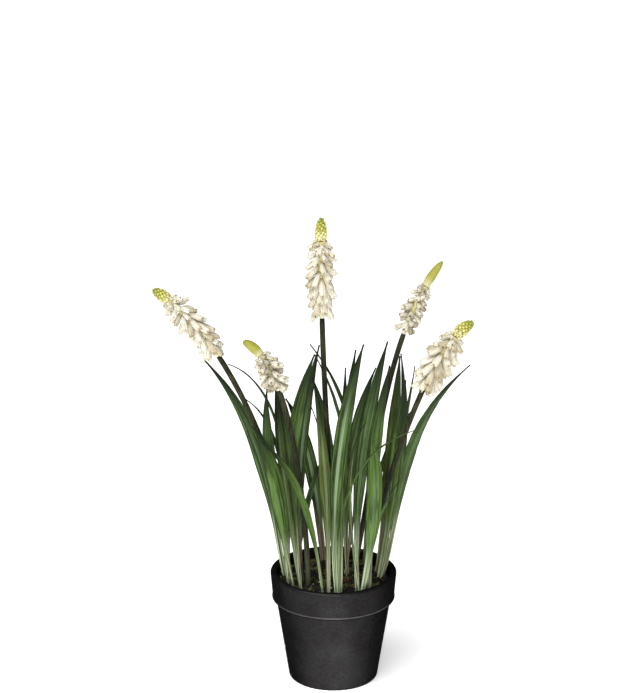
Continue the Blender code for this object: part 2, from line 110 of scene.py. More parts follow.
class Graph:
    """A node tree under construction."""

    def __init__(self, tree):
        self.tree = tree

    def node(self, kind, settings=None, values=None, out=0):
        """Adds a node of a kind, and returns one of its outputs as a wire."""
        node = self.tree.nodes.new(kind)
        for name, setting in (settings or {}).items():
            setattr(node, name, setting)
        for name, value in (values or {}).items():
            self.feed(node.inputs[name], value)
        return Wire(self, node.outputs[out])

    def feed(self, socket, value):
        """Links a wire to a socket, or sets the socket's own value."""
        if isinstance(value, Wire):
            self.tree.links.new(value.socket, socket)
        else:
            socket.default_value = value

    def math(self, operation, *values):
        return self.node("ShaderNodeMath", {"operation": operation}, dict(enumerate(values)))

    def join(self, x=0.0, y=0.0, z=0.0):
        """A vector from three numbers."""
        return self.node("ShaderNodeCombineXYZ", values={"X": x, "Y": y, "Z": z})

    def split(self, vector):
        """The three numbers of a vector."""
        node = self.node("ShaderNodeSeparateXYZ", values={"Vector": vector}).socket.node
        return [Wire(self, output) for output in node.outputs]


def tint(code):
    """A colour from its six hex digits, as the linear values that shaders use."""
    shares = [int(code[k:k + 2], 16) / 255 for k in (0, 2, 4)]
    return (*[c / 12.92 if c <= 0.04045 else ((c + 0.055) / 1.055) ** 2.4 for c in shares], 1.0)


print("a leaf green, linear:", [round(c, 3) for c in tint("435c1c")])

# %% [markdown]
# ## A material as a graph
# Every finish on the plant starts from one Principled shader. Its constant values are set on the shader's own
# sockets, and what varies over the surface is wired to its colour, roughness and normal. Colour is built like
# paint: a first blend, and then thin coats over it, each with a mask that says where it shows.

# %% A material as a graph
class Finish(Graph):
    """A material under construction, round its Principled shader."""

    def __init__(self, name, **constants):
        self.material = bpy.data.materials.new(name)
        self.material.use_nodes = True
        super().__init__(self.material.node_tree)
        self.shader = self.tree.nodes["Principled BSDF"]
        self.place = self.node("ShaderNodeTexCoord", out="Object")
        self.put(**constants)

    def put(self, **values):
        """Sets or links the shader's sockets, named with underscores for spaces."""
        for name, value in values.items():
            self.feed(self.shader.inputs[name.replace("_", " ")], value)

    def read(self, name, out="Fac"):
        """An attribute that was stored on the mesh."""
        return self.node("ShaderNodeAttribute", {"attribute_name": name}, out=out)

    def mix(self, share, low, high):
        """A blend of two colours, each one a wire, four numbers or six hex digits."""
        low, high = (tint(colour) if isinstance(colour, str) else colour for colour in (low, high))
        return self.node("ShaderNodeMix", {"data_type": "RGBA"}, {0: share, 6: low, 7: high}, out=2)

    def coats(self, colour, *coats):
        """A colour under coats, which are a mask and a colour each, laid on one after another."""
        for mask, coat in coats:
            colour = self.mix(mask, colour, coat)
        return colour

    def stretch(self, place, *scale):
        return self.node("ShaderNodeMapping", values={"Vector": place, "Scale": scale})

    def noise(self, place, scale, detail=2.0):
        return self.node("ShaderNodeTexNoise", values={"Vector": place, "Scale": scale, "Detail": detail})

    def bump(self, height, distance, strength=1.0):
        """Relief of a height from 0 to 1, distance deep in metres."""
        values = {"Height": height, "Distance": distance, "Strength": strength}
        return self.node("ShaderNodeBump", values=values)


# %% [markdown]
# ## Growing pieces with Geometry Nodes
# Leaves, stems, florets and crumbs repeat a shape or follow a path, which is what Geometry Nodes are for. A
# base mesh holds the paths or the points, with attributes for width, turn and tone, and a tree with named
# inputs grows the piece from it.

# %% Growing pieces with Geometry Nodes
SOCKETS = {
    float: "NodeSocketFloat", int: "NodeSocketInt", bpy.types.Object: "NodeSocketObject",
    bpy.types.Collection: "NodeSocketCollection", bpy.types.Material: "NodeSocketMaterial",
}


class Growth(Graph):
    """A Geometry Nodes tree under construction, with named inputs."""

    def __init__(self, name, **kinds):
        super().__init__(bpy.data.node_groups.new(name, "GeometryNodeTree"))
        for way in ("INPUT", "OUTPUT"):
            self.tree.interface.new_socket("Geometry", in_out=way, socket_type="NodeSocketGeometry")
        for input_name, kind in {**kinds, "finish": bpy.types.Material}.items():
            self.tree.interface.new_socket(input_name, in_out="INPUT", socket_type=SOCKETS[kind])
        self.entry = self.tree.nodes.new("NodeGroupInput")
        self.start = self.given("Geometry")

    def given(self, name):
        """A named input of the tree."""
        return Wire(self, self.entry.outputs[name])

    def read(self, name, kind="FLOAT"):
        """An attribute that was stored on the base mesh."""
        settings = {"data_type": kind}
        return self.node("GeometryNodeInputNamedAttribute", settings, {"Name": name}, out="Attribute")

    def scatter(self, points, values):
        """One shape of the collection given as shapes on each point, with its turn and size in values."""
        shapes = self.node("GeometryNodeCollectionInfo", values={
            "Collection": self.given("shapes"), "Separate Children": True, "Reset Children": True,
        })
        return self.node("GeometryNodeInstanceOnPoints", values={
            "Points": points, "Instance": shapes, "Pick Instance": True, **values,
        })

    def end(self, geometry):
        """Ends the tree: real geometry, smooth, with its material."""
        geometry = self.node("GeometryNodeRealizeInstances", values={"Geometry": geometry})
        geometry = self.node("GeometryNodeSetShadeSmooth", values={"Geometry": geometry})
        values = {"Geometry": geometry, "Material": self.given("finish")}
        geometry = self.node("GeometryNodeSetMaterial", values=values)
        exit_node = self.tree.nodes.new("NodeGroupOutput")
        self.feed(exit_node.inputs[0], geometry)
        return self


print("kinds of input that a tree can have:", len(SOCKETS))

# %% [markdown]
# ## From a base mesh to a finished piece
# What a tree grows is only a result of its modifier. It is copied into a plain mesh at once, and the modifier
# is cleared, so nothing later depends on the tree. A finished piece is then attached to the body that it rides
# on, and the CAD solid that it stands for is hidden.

# %% From a base mesh to a finished piece
def new_mesh(name, points, edges=(), faces=(), **attributes):
    """A mesh with attributes on its points: a list of numbers or of vectors for each name."""
    mesh = bpy.data.meshes.new(name)
    mesh.from_pydata([tuple(point) for point in points], edges, faces)
    for key, values in attributes.items():
        table = np.array(values, float)
        kind, field = ("FLOAT", "value") if table.ndim == 1 else ("FLOAT_VECTOR", "vector")
        mesh.attributes.new(key, kind, "POINT").data.foreach_set(field, table.ravel())
    return mesh


def new_object(name, data):
    """An object in the scene round a mesh, a light's data or a camera's."""
    obj = bpy.data.objects.new(name, data)
    bpy.context.scene.collection.objects.link(obj)
    return obj


def settle(obj):
    """Turns the object's modifiers into a plain mesh."""
    bpy.context.view_layer.update()
    graph = bpy.context.evaluated_depsgraph_get()
    finished = obj.evaluated_get(graph)
    plain = bpy.data.meshes.new_from_object(finished, preserve_all_data_layers=True, depsgraph=graph)
    obj.modifiers.clear()
    old = obj.data
    obj.data = plain
    bpy.data.meshes.remove(old)
    return obj


def grow(name, mesh, tree, **values):
    """The object that a tree grows from a mesh, as a plain mesh."""
    obj = new_object(name, mesh)
    modifier = obj.modifiers.new("grow", "NODES")
    modifier.node_group = tree.tree
    for item in tree.tree.interface.items_tree:
        if item.in_out == "INPUT" and item.name in values:
            modifier[item.identifier] = values[item.name]
    return settle(obj)


def hand_in(obj, material_slot, *nodes):
    """Says what the piece rides on and which CAD nodes it replaces. material_slot is not used."""
    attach(obj, "root")
    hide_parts(*nodes)
    print(f"{obj.name}: {sum(len(face.vertices) - 2 for face in obj.data.polygons)} triangles")


# %% [markdown]
# ## Paths
# Each stem and leaf follows a Bezier curve through a few handles. A path is read by the distance along it, so
# that a width or a floret can be placed in millimetres from the root.

# %% Paths
def bezier(handles, t):
    """The point at t, from 0 to 1, of a Bezier curve of any number of handles."""
    points = [Vector(handle) for handle in handles]
    while len(points) > 1:
        points = [a.lerp(b, t) for a, b in zip(points, points[1:])]
    return points[0]


class Path:
    """A Bezier curve through handles in millimetres, read by the distance along it in metres."""

    SAMPLES = 160
    SHORT_STEP = 0.5 * MM

    def __init__(self, handles):
        scaled = [Vector(handle) * MM for handle in handles]
        self.points = np.array([bezier(scaled, i / self.SAMPLES) for i in range(self.SAMPLES + 1)])
        steps = np.linalg.norm(np.diff(self.points, axis=0), axis=1)
        self.distances = np.concatenate([[0], np.cumsum(steps)])
        self.length = self.distances[-1]

    def at(self, distance):
        return Vector([np.interp(distance, self.distances, self.points[:, k]) for k in range(3)])

    def heading(self, distance):
        return (self.at(distance + self.SHORT_STEP) - self.at(distance - self.SHORT_STEP)).normalized()


def basis(origin, forward):
    """A matrix that places a shape made along +Z at origin, pointing forward."""
    return Matrix.Translation(origin) @ forward.to_track_quat("Z", "Y").to_matrix().to_4x4()


sample = Path([(0, 0, 0), (0, 0, 100), (80, 0, 100)])
print("length of a path that rounds a corner of legs of 100 and 80 mm:", round(sample.length / MM), "mm")

# %% [markdown]
# ## The pot
# The pot is moulded in one piece: a tapered wall, a deep band round the rim with a narrow bead along its
# foot, and a rounded lip. Any turned shape is a profile swept round an axis, so the outline is drawn once,
# with an arc at each soft corner, and a Screw modifier turns it. The small radii matter more than the sides:
# they catch the light along the lip and the band's foot.

# %% The pot's outline
POT_HEIGHT = 71.3 * MM
RIM_RADIUS = 40.0 * MM
LIP_WIDTH = 4.0 * MM
RIM_DEPTH = 17.5 * MM
RIM_TAPER = 1.4 * MM
RIM_STEP = 2.2 * MM
FOOT_BEAD = 0.3 * MM
BASE_RADIUS = 28.1 * MM
WALL = 2.0 * MM
FLOOR = 3.0 * MM
KNEE = POT_HEIGHT - RIM_DEPTH


def inner_radius(height):
    """Radius of the pot's inside at a height."""
    knee_radius = RIM_RADIUS - RIM_TAPER - RIM_STEP - WALL
    radii = [BASE_RADIUS - WALL, knee_radius, RIM_RADIUS - LIP_WIDTH]
    return float(np.interp(height, [0, KNEE, POT_HEIGHT], radii))


def rounded(corners, arc_steps=7):
    """Outline of (radius, height, rounding) corners, with an arc in place of each rounded one."""
    outline = []
    for i, (radius, height, rounding) in enumerate(corners):
        corner = Vector((radius, height))
        if not rounding:
            outline.append(corner)
            continue
        back = (Vector(corners[i - 1][:2]) - corner).normalized()
        ahead = (Vector(corners[i + 1][:2]) - corner).normalized()
        half = back.angle(ahead) / 2
        centre = corner + (back + ahead).normalized() * rounding / math.sin(half)
        reach = rounding / math.tan(half)
        for k in range(arc_steps + 1):
            arm = (back * reach).lerp(ahead * reach, k / arc_steps) + corner - centre
            outline.append(centre + arm.normalized() * rounding)
    return outline


band_foot = RIM_RADIUS - RIM_TAPER
pot_outline = rounded([
    # the inside, from the middle of the floor to the lip
    (0, FLOOR, 0),
    (inner_radius(FLOOR), FLOOR, 1.0 * MM),
    (inner_radius(KNEE), KNEE, 3.0 * MM),
    (RIM_RADIUS - LIP_WIDTH, POT_HEIGHT, 1.2 * MM),
    (RIM_RADIUS, POT_HEIGHT, 1.5 * MM),
    # the bead along the foot of the band, and the step under it
    (band_foot, KNEE + 1.5 * MM, 0.2 * MM),
    (band_foot + FOOT_BEAD, KNEE + 0.9 * MM, 0.3 * MM),
    (band_foot + FOOT_BEAD, KNEE, 0.3 * MM),
    (band_foot - RIM_STEP, KNEE - 0.3 * MM, 0.25 * MM),
    # the foot and the middle of the underside
    (BASE_RADIUS, 0, 1.6 * MM),
    (0, 0, 0),
])
print("pot outline:", len(pot_outline), "points")

# %% [markdown]
# ## Matt black plastic
# The pot's plastic is near black and matt, but it isn't even. The moulding leaves a fine grain, faint grey
# clouds and a few scuffs. A pale line along the bead is a painted highlight, and the corner under it is
# darkened with painted shade. The pot shows a soft sheen down the middle and goes dark towards its sides. A
# plain plastic finish would do the opposite here and mirror the white floor in its sides, so this one is mostly
# a dull, nearly black metal with a black edge tint. Noises of different sizes move the colour and the
# roughness, and a fine one gives the grain.

# %% Matt black plastic
POT_STEPS = 144
POT_CREASE = math.radians(60)
MERGE_REACH = 0.01 * MM
BLACK = (0.0, 0.0, 0.0, 1.0)


def pot_plastic():
    finish = Finish("pot_plastic", Specular_IOR_Level=0.0, Metallic=0.8, Specular_Tint=BLACK)
    clouds = finish.noise(finish.place, 55.0, 5.0)
    streaks = finish.noise(finish.stretch(finish.place, 1.0, 1.0, 2.2), 420.0, 5.0)
    grain = finish.noise(finish.place, 1500.0, 3.0)
    scuffs = finish.noise(finish.place, 420.0, 6.0).step(0.62, 0.8)
    wear = clouds.step(0.3, 0.75) * 0.5 + streaks.step(0.3, 0.8) * 0.5
    height = finish.split(finish.place)[2]
    # painted highlight: a pale line along the bead at the foot of the band
    bead_highlight = height.band(KNEE - 0.1 * MM, KNEE + 0.2 * MM, KNEE + 0.9 * MM, KNEE + 1.2 * MM)
    # painted shade: the corner under the band's step is darkened
    corner = height.band(KNEE - 2.2 * MM, KNEE - 1.2 * MM, KNEE - 0.3 * MM, KNEE - 0.1 * MM)
    finish.put(
        Base_Color=finish.coats(
            finish.mix(wear, "211f1f", "313132"),
            (scuffs * 0.35, "444448"),
            (bead_highlight * (0.35 + streaks * 0.5), "5a5957"),
            (corner * 0.85, "0b0b0b"),
        ),
        Roughness=0.35 + streaks * 0.12 + scuffs * 0.12,
        Normal=finish.bump(grain * 0.5 + streaks * 0.5, 0.12 * MM, 0.5),
    )
    return finish.material


def make_pot():
    points = [(radius, 0, height) for radius, height in pot_outline]
    links = [(i, i + 1) for i in range(len(points) - 1)]
    pot = new_object("flower_pot", new_mesh("flower_pot", points, links))
    screw = pot.modifiers.new("turn", "SCREW")
    screw.axis = "Z"
    screw.steps = screw.render_steps = POT_STEPS
    screw.use_merge_vertices = True
    screw.merge_threshold = MERGE_REACH
    settle(pot)
    form = bmesh.new()
    form.from_mesh(pot.data)
    bmesh.ops.recalc_face_normals(form, faces=form.faces)
    form.to_mesh(pot.data)
    form.free()
    pot.data.materials.append(pot_plastic())
    pot.data.shade_smooth()
    pot.data.set_sharp_from_angle(angle=POT_CREASE)
    hand_in(pot, "pot", "pot")


make_pot()

# %% [markdown]
# ## The firm fill
# The block that holds the stems is hidden under the crumbs. Its CAD solid is right as it is, so it stays, and
# only gets the look of dry foam: pale grey-brown with small open cells.

# %% The firm fill
def dry_foam():
    finish = Finish("dry_foam", Specular_IOR_Level=0.2)
    cells = finish.node("ShaderNodeTexVoronoi", values={"Vector": finish.place, "Scale": 900.0})
    clouds = finish.noise(finish.place, 60.0, 4.0)
    colour = finish.mix(clouds.step(0.3, 0.7), "6d6250", "8b8069")
    colour = finish.mix(cells.step(0.45, 0.1) * 0.5, colour, "4a4234")
    finish.put(Base_Color=colour, Roughness=0.9 + cells * 0.08, Normal=finish.bump(cells, 0.3 * MM))
    return finish.material


fill_block = frame["nodes"]["fill_block"]
for slot in fill_block.material_slots:
    slot.material = dry_foam()
print("finish of the fill block:", fill_block.material_slots[0].material.name)

# %% [markdown]
# ## The crumbs
# The soil is a layer of crumbs, glued on to the fill: most are near black, with bits of olive and yellow moss
# and a few pale or rusty grains. A picture of soil on a flat disc would look flat from every other side, so a
# lumpy bed is scattered with thousands of small angular lumps, each with its own turn, size and tone.

# %% The crumbs' finish
SOIL_TOP = 66.0 * MM
RUSTY_PLACE = (13 * MM, -4 * MM, SOIL_TOP)


def crumb_finish():
    finish = Finish("dark_crumbs", Specular_IOR_Level=0.3)
    tone = finish.read("tone")
    patches = finish.noise(finish.place, 120.0, 2.0)
    fine = finish.noise(finish.place, 2400.0, 3.0)
    away = finish.node(
        "ShaderNodeVectorMath", {"operation": "DISTANCE"}, {0: finish.place, 1: RUSTY_PLACE}, out="Value",
    )
    mossy = (tone * 0.35 + patches * 1.2).step(0.82, 0.9)
    rusty = away.step(9 * MM, 3 * MM) * tone.step(0.6, 0.62)
    colour = finish.coats(
        finish.mix(fine, "050504", "15120d"),
        (mossy, finish.mix(fine.step(0.35, 0.65), "30331a", "66682f")),
        (rusty * 0.8, "6d3f20"),
        (tone.step(0.988, 0.99) * 0.75, "9a9788"),
    )
    finish.put(Base_Color=colour, Roughness=0.75 + fine * 0.2, Normal=finish.bump(fine, 0.15 * MM))
    return finish.material


crumb_material = crumb_finish()
print("nodes in the crumbs' finish:", len(crumb_material.node_tree.nodes))

# %% [markdown]
# ## Closed round forms
# The bed of the crumbs, the florets, the beads and the bud cones are all rings of points between two poles.
# One helper gives the angles of a ring's points, and another the faces that close such a form at both ends.

# %% Closed round forms
def turns(steps):
    """Angles of points that are spaced evenly round a circle."""
    return [2 * math.pi * j / steps for j in range(steps)]


def closed_faces(rings, sides):
    """Faces of a closed form, whose points are a first pole, rings round it, and a last pole."""
    last = 1 + rings * sides
    faces = []
    for j in range(sides):
        k = (j + 1) % sides
        faces.append((0, 1 + k, 1 + j))
        for low in range(1, last - sides, sides):
            faces.append((low + j, low + k, low + sides + k, low + sides + j))
        faces.append((last - sides + j, last - sides + k, last))
    return faces


print("faces of a form with 3 rings of 8 points:", len(closed_faces(3, 8)))

# %% [markdown]
# ## The lumpy bed
# The crumbs lie on a closed disc that fills the pot, apart from a narrow gap. Its top swells and dips by
# about a millimetre, from one broad noise and a finer one, as glued crumbs do where they lie thicker.

# %% The lumpy bed
CRUST_BOTTOM = 60.0 * MM
CRUST_GAP = 0.3 * MM
BED_TOP = SOIL_TOP - 1.0 * MM
BED_RINGS = 26
BED_STEPS = 96
BED_RELIEF = 1.2 * MM
BROAD_SWELL = 7 * MM
FINE_SWELL = 3 * MM
crust_edge = inner_radius(CRUST_BOTTOM) - 2 * CRUST_GAP


def bed_height(x, y):
    """Height of the bed's lumpy top."""
    broad = noise.noise(Vector((x, y, 0)) / BROAD_SWELL)
    fine = noise.noise(Vector((x, y, 5)) / FINE_SWELL)
    return BED_TOP + BED_RELIEF * (broad + 0.5 * fine)


def bed_mesh():
    """A closed disc with a lumpy top: its lower edge, and rings from its upper edge to the middle."""
    radii = [crust_edge] + [crust_edge * (1 - i / BED_RINGS) for i in range(BED_RINGS)]
    points = [(0, 0, CRUST_BOTTOM)]
    for ring, radius in enumerate(radii):
        for angle in turns(BED_STEPS):
            x, y = radius * math.cos(angle), radius * math.sin(angle)
            points.append((x, y, bed_height(x, y) if ring else CRUST_BOTTOM))
    points.append((0, 0, BED_TOP))
    return new_mesh("crumb_bed", points, faces=closed_faces(len(radii), BED_STEPS))


print("crumb bed, mm across:", round(2 * crust_edge / MM, 1))

# %% [markdown]
# ## Scattering the crumbs
# A tree drops points on the upward faces of the bed, with a fixed seed, and puts a lump on each. Three lumps
# of twenty faces are enough, because each copy gets its own turn and size. The cube of a random number makes
# most crumbs small and a few large, and a tone is stored on every copy for the finish to read.

# %% Scattering the crumbs
LUMPS = (("lump_round", 1, 0.9), ("lump_long", 2, 1.4), ("lump_flat", 3, 0.55))  # name, seed, height
LUMP_SPREAD = (0.75, 1.15)
CRUMB_DENSITY = 1.15e6  # crumbs for each square metre
CRUMB_SIZES = (0.7 * MM, 2.6 * MM)
CRUMB_MARGIN = 0.9 * MM
CRUMB_CREASE = math.radians(25)
FACING_UP = 0.3  # least z of a face's normal for crumbs to lie on it
ANY_TURN = (6.28, 6.28, 6.28)


def lump_mesh(name, seed, height):
    """An angular lump, one unit across."""
    draw = random.Random(seed)
    form = bmesh.new()
    bmesh.ops.create_icosphere(form, subdivisions=1, radius=0.5)
    for vertex in form.verts:
        vertex.co *= draw.uniform(*LUMP_SPREAD)
        vertex.co.z *= height
    mesh = bpy.data.meshes.new(name)
    form.to_mesh(mesh)
    form.free()
    return mesh


def shape_collection(name, meshes):
    """A collection of shapes for a tree to pick from. It is kept out of the scene."""
    collection = bpy.data.collections.new(name)
    for k, mesh in enumerate(meshes):
        collection.objects.link(bpy.data.objects.new(f"{name}_{k}", mesh))
    return collection


def crumb_tree():
    """Scatters lumps on the upward faces of the bed, within reach of its middle."""
    kinds = {"shapes": bpy.types.Collection, "density": float, "smallest": float, "largest": float}
    tree = Growth("crumbs", **kinds, reach=float)
    x, y, _ = tree.split(tree.node("GeometryNodeInputPosition"))
    radius = tree.node("ShaderNodeVectorMath", {"operation": "LENGTH"}, {0: tree.join(x, y)}, out="Value")
    facing = tree.split(tree.node("GeometryNodeInputNormal"))[2]
    upward = tree.math("GREATER_THAN", facing, FACING_UP)
    inside = tree.math("LESS_THAN", radius, tree.given("reach"))
    points = tree.node("GeometryNodeDistributePointsOnFaces", values={
        "Mesh": tree.start, "Selection": upward * inside, "Density": tree.given("density"), "Seed": 4,
    })
    values = {"Max": ANY_TURN, "Seed": 1}
    turn = tree.node("FunctionNodeRandomValue", {"data_type": "FLOAT_VECTOR"}, values)
    share, tone = (
        tree.node("FunctionNodeRandomValue", {"data_type": "FLOAT"}, {"Seed": seed}, out=1)
        for seed in (2, 3)
    )
    smallest = tree.given("smallest")
    size = smallest + share * share * share * (tree.given("largest") - smallest)
    crumbs = tree.scatter(points, {"Rotation": turn, "Scale": size})
    crumbs = tree.node("GeometryNodeStoreNamedAttribute", {"data_type": "FLOAT", "domain": "INSTANCE"}, {
        "Geometry": crumbs, "Name": "tone", "Value": tone,
    })
    soil = tree.node("GeometryNodeJoinGeometry", values={"Geometry": crumbs})
    tree.feed(soil.socket.node.inputs[0], tree.start)
    return tree.end(soil)


def make_crumbs(material):
    shapes = shape_collection("lumps", [lump_mesh(*lump) for lump in LUMPS])
    smallest, largest = CRUMB_SIZES
    crumbs = grow(
        "soil_crumbs", bed_mesh(), crumb_tree(), shapes=shapes, density=CRUMB_DENSITY, smallest=smallest,
        largest=largest, reach=crust_edge - CRUMB_MARGIN, finish=material,
    )
    crumbs.data.set_sharp_from_angle(angle=CRUMB_CREASE)
    hand_in(crumbs, "soil", "soil_crust")


make_crumbs(crumb_material)

# %% [markdown]
# ## The flowers' numbers
# Each flower is given by the handles of its axis, the length that its florets cover, how much of that is bare
# at the foot, the length, width and bluntness of its bud cone, the size and number of its florets, and how
# far they dip below level from the foot of the bloom to its top. Three spikes are open, with long hanging
# drops and a beaded tip, and two are young, with short cups and a smooth tip.

# %% The flowers' numbers
STEM_RADIUS = 1.7 * MM
STEM_DEPTH = 30.0 * MM
SPIGOT_RADIUS = 0.8 * MM
SPIGOT_LENGTH = 6.0 * MM
BUTT_GAP = 0.45 * MM

Flower = namedtuple("Flower", "root lower upper tip bloom lead bud floret florets dips is_open")
FLOWERS = {
    "centre": Flower(
        (1, 5, 66), (-3, 2, 148), (-9, -1, 227), (-8, -2, 302),
        bloom=49, lead=9.0, bud=(15, 8.5, 2.1), floret=(10.4, 3.9), florets=49,
        dips=(60, 50, 28, 16, 24), is_open=True,
    ),
    "left": Flower(
        (-20, -3, 66), (-29, -6, 124), (-60, -10, 230), (-110, -14, 260),
        bloom=47, lead=8.5, bud=(12, 8.2, 2.5), floret=(10.0, 3.8), florets=49,
        dips=(60, 52, 38, 20, 16), is_open=True,
    ),
    "low_left": Flower(
        (-16, -10, 66), (-16, -14, 90), (-22, -25, 218), (-55, -30, 232),
        bloom=26, lead=4.0, bud=(14, 6.2, 4.0), floret=(6.4, 3.7), florets=35,
        dips=(32, 16, 4, 6, 24), is_open=False,
    ),
    "high_right": Flower(
        (13, 13, 66), (26, 15, 123), (29, 18, 221), (67, 20, 268),
        bloom=33, lead=4.5, bud=(19, 5.9, 2.6), floret=(5.6, 3.5), florets=33,
        dips=(30, 14, 2, 6, 20), is_open=False,
    ),
    "right": Flower(
        (20, -6, 66), (23, -14, 102), (53, -22, 229), (84, -26, 243),
        bloom=38.5, lead=5.5, bud=(14.5, 8.6, 3.0), floret=(10.6, 4.0), florets=44,
        dips=(50, 38, 26, 12, 20), is_open=True,
    ),
}
AXES = {name: Path(flower[:4]) for name, flower in FLOWERS.items()}
BLOOM_STARTS = {
    name: AXES[name].length - (flower.bloom + flower.bud[0]) * MM for name, flower in FLOWERS.items()
}
print("stem lengths, mm:", {name: round(start * 1000) for name, start in BLOOM_STARTS.items()})

# %% [markdown]
# ## Stems
# The stems are wires in a smooth plastic sleeve, dark olive grey and paler at the foot, with painted shade
# darkening them where they pass through the thick of the leaves. A tree sweeps a circle along each axis,
# scaled by the radius that is stored on every point. Above the sleeve a thin bare end goes on into the bloom,
# which is pushed on to it.

# %% Stems
STEM_STEPS = 48
STEM_SIDES = 18
SLEEVE_END = 0.9  # the sleeve's last radius, as a part of its full one
SPIGOT_STEP = 0.1 * MM


def tube_tree():
    """Sweeps a circle along the edges of the base mesh."""
    tree = Growth("tube", sides=int)
    spine = tree.node("GeometryNodeMeshToCurve", values={"Mesh": tree.start})
    values = {"Radius": 1.0, "Resolution": tree.given("sides")}
    ring = tree.node("GeometryNodeCurvePrimitiveCircle", values=values)
    return tree.end(tree.node("GeometryNodeCurveToMesh", values={
        "Curve": spine, "Profile Curve": ring, "Scale": tree.read("radius"), "Fill Caps": True,
    }))


def stem_plastic():
    finish = Finish("stem_plastic", Specular_IOR_Level=0.08)
    height = finish.split(finish.place)[2]
    lines = finish.noise(finish.stretch(finish.place, 1.0, 1.0, 0.04), 1400.0, 3.0)
    clouds = finish.noise(finish.place, 90.0, 3.0)
    # painted shade: the stems are darker between 85 and 175 mm up, where the leaves crowd round them
    painted_leaf_shade = height.band(85 * MM, 110 * MM, 150 * MM, 175 * MM)
    foot = height.step(105 * MM, 70 * MM)
    colour = finish.coats(
        finish.mix(lines.step(0.38, 0.66), "17180f", "35361f"),
        (clouds.step(0.5, 0.75) * 0.5, "454530"),
        (painted_leaf_shade * 0.6, "141a0c"),
        (foot * 0.5, "59614c"),
    )
    normal = finish.bump(lines, 0.1 * MM, 0.6)
    finish.put(Base_Color=colour, Roughness=0.38 + lines * 0.2, Normal=normal)
    return finish.material


def spine_mesh(name, points, radii, **attributes):
    """A path as a chain of edges, with a radius on each point."""
    edges = [(i, i + 1) for i in range(len(points) - 1)]
    return new_mesh(name, points, edges, radius=radii, **attributes)


TUBE = tube_tree()


def make_stem(name, material):
    axis, start = AXES[name], BLOOM_STARTS[name]
    distances = np.linspace(0, start - BUTT_GAP, STEM_STEPS)
    points = [axis.at(0) - axis.heading(0) * STEM_DEPTH] + [axis.at(d) for d in distances]
    radii = [STEM_RADIUS] * (len(points) - 1) + [STEM_RADIUS * SLEEVE_END]
    top, ahead = points[-1], axis.heading(start)
    points += [top + ahead * SPIGOT_STEP, top + ahead * SPIGOT_LENGTH]
    radii += [SPIGOT_RADIUS, SPIGOT_RADIUS]
    mesh = spine_mesh("stem", points, radii)
    stem = grow("flower_stem_" + name, mesh, TUBE, sides=STEM_SIDES, finish=material)
    hand_in(stem, "stem", "stem_" + name)


stem_material = stem_plastic()
for flower_name in FLOWERS:
    make_stem(flower_name, stem_material)

# %% [markdown]
# ## Floret shapes
# A floret is a small closed bell. On an open spike it is a long drop with a blunt end and a tiny mouth, on a
# young one a short cup with a thick rim. Both are rings of points round an axis, one unit long and wide, with
# soft lobes and a scalloped mouth. A few variants of each, differently lobed and bent, are enough, because
# every copy is turned and sized on its own. Each point keeps its share of the length as an attribute, past 1
# inside the mouth, for the colours to follow.

# %% Floret shapes
Ring = namedtuple("Ring", "radius height along")
DROP_RINGS = (
    Ring(0.20, 0.02, 0.02), Ring(0.31, 0.14, 0.14), Ring(0.41, 0.32, 0.32), Ring(0.475, 0.52, 0.52),
    Ring(0.50, 0.70, 0.70), Ring(0.47, 0.85, 0.85), Ring(0.38, 0.95, 0.95), Ring(0.25, 0.98, 1.04),
)
CUP_RINGS = (
    Ring(0.24, 0.02, 0.02), Ring(0.33, 0.2, 0.2), Ring(0.45, 0.5, 0.5), Ring(0.52, 0.76, 0.76),
    Ring(0.49, 0.92, 0.92), Ring(0.38, 1.0, 1.0), Ring(0.26, 0.98, 1.05), Ring(0.12, 0.9, 1.12),
)
BEAD_RINGS = (
    Ring(0.34, 0.06, 0.06), Ring(0.47, 0.32, 0.32), Ring(0.47, 0.58, 0.58), Ring(0.34, 0.82, 0.82),
    Ring(0.15, 0.96, 0.96),
)
Lobes = namedtuple("Lobes", "count depth bend")
DROP_LOBES = (Lobes(3, 0.17, 0.05), Lobes(3, 0.14, 0.26), Lobes(2, 0.22, -0.2), Lobes(4, 0.1, 0.16))
CUP_LOBES = (Lobes(6, 0.06, 0.0), Lobes(3, 0.15, 0.14), Lobes(2, 0.18, -0.1))
FLORET_SIDES = 12
BEAD_SIDES = 8


def shell_mesh(name, rings, end, sides, lobes=Lobes(0, 0.0, 0.0), scallop=0.0):
    """A closed form along +Z through rings, lobed, slightly bent and scalloped. end is its last point."""
    points, along, rest = [(0, 0, 0)], [0.0], [(0, 0, 0)]
    for ring in rings:
        for angle in turns(sides):
            wave = math.cos(lobes.count * angle)
            radius = ring.radius * (1 + lobes.depth * wave)
            x, y = radius * math.cos(angle), radius * math.sin(angle)
            lean = lobes.bend * ring.height * ring.height
            points.append((x + lean, y, ring.height + scallop * ring.along ** 3 * wave))
            rest.append((x, y, ring.height))
            along.append(ring.along)
    points.append((lobes.bend * end.height * end.height, 0, end.height))
    rest.append((0, 0, end.height))
    along.append(end.along)
    return new_mesh(name, points, faces=closed_faces(len(rings), sides), along=along, rest=rest)


def variants(name, rings, end, kinds, scallop):
    """A collection of florets of one kind, one for each row of lobes."""
    return shape_collection(name, [
        shell_mesh(f"{name}_{k}", rings, end, FLORET_SIDES, lobes, scallop) for k, lobes in enumerate(kinds)
    ])


DROPS = variants("drops", DROP_RINGS, Ring(0, 0.9, 1.15), DROP_LOBES, 0.06)
CUPS = variants("cups", CUP_RINGS, Ring(0, 0.85, 1.2), CUP_LOBES, 0.055)
BEADS = shape_collection("beads", [shell_mesh("bead_0", BEAD_RINGS, Ring(0, 1.0, 1.0), BEAD_SIDES)])

# %% [markdown]
# ## Floret finish
# The florets are cream, moulded or printed with soft changes of colour: olive at the neck, beige blotches and
# fine lines down the sides, and a darker mouth. The tone that each floret carries makes some warmer and some
# whiter, and a few look aged, as in the real bunch. A little light passes through them, so the shader
# scatters it under the surface.

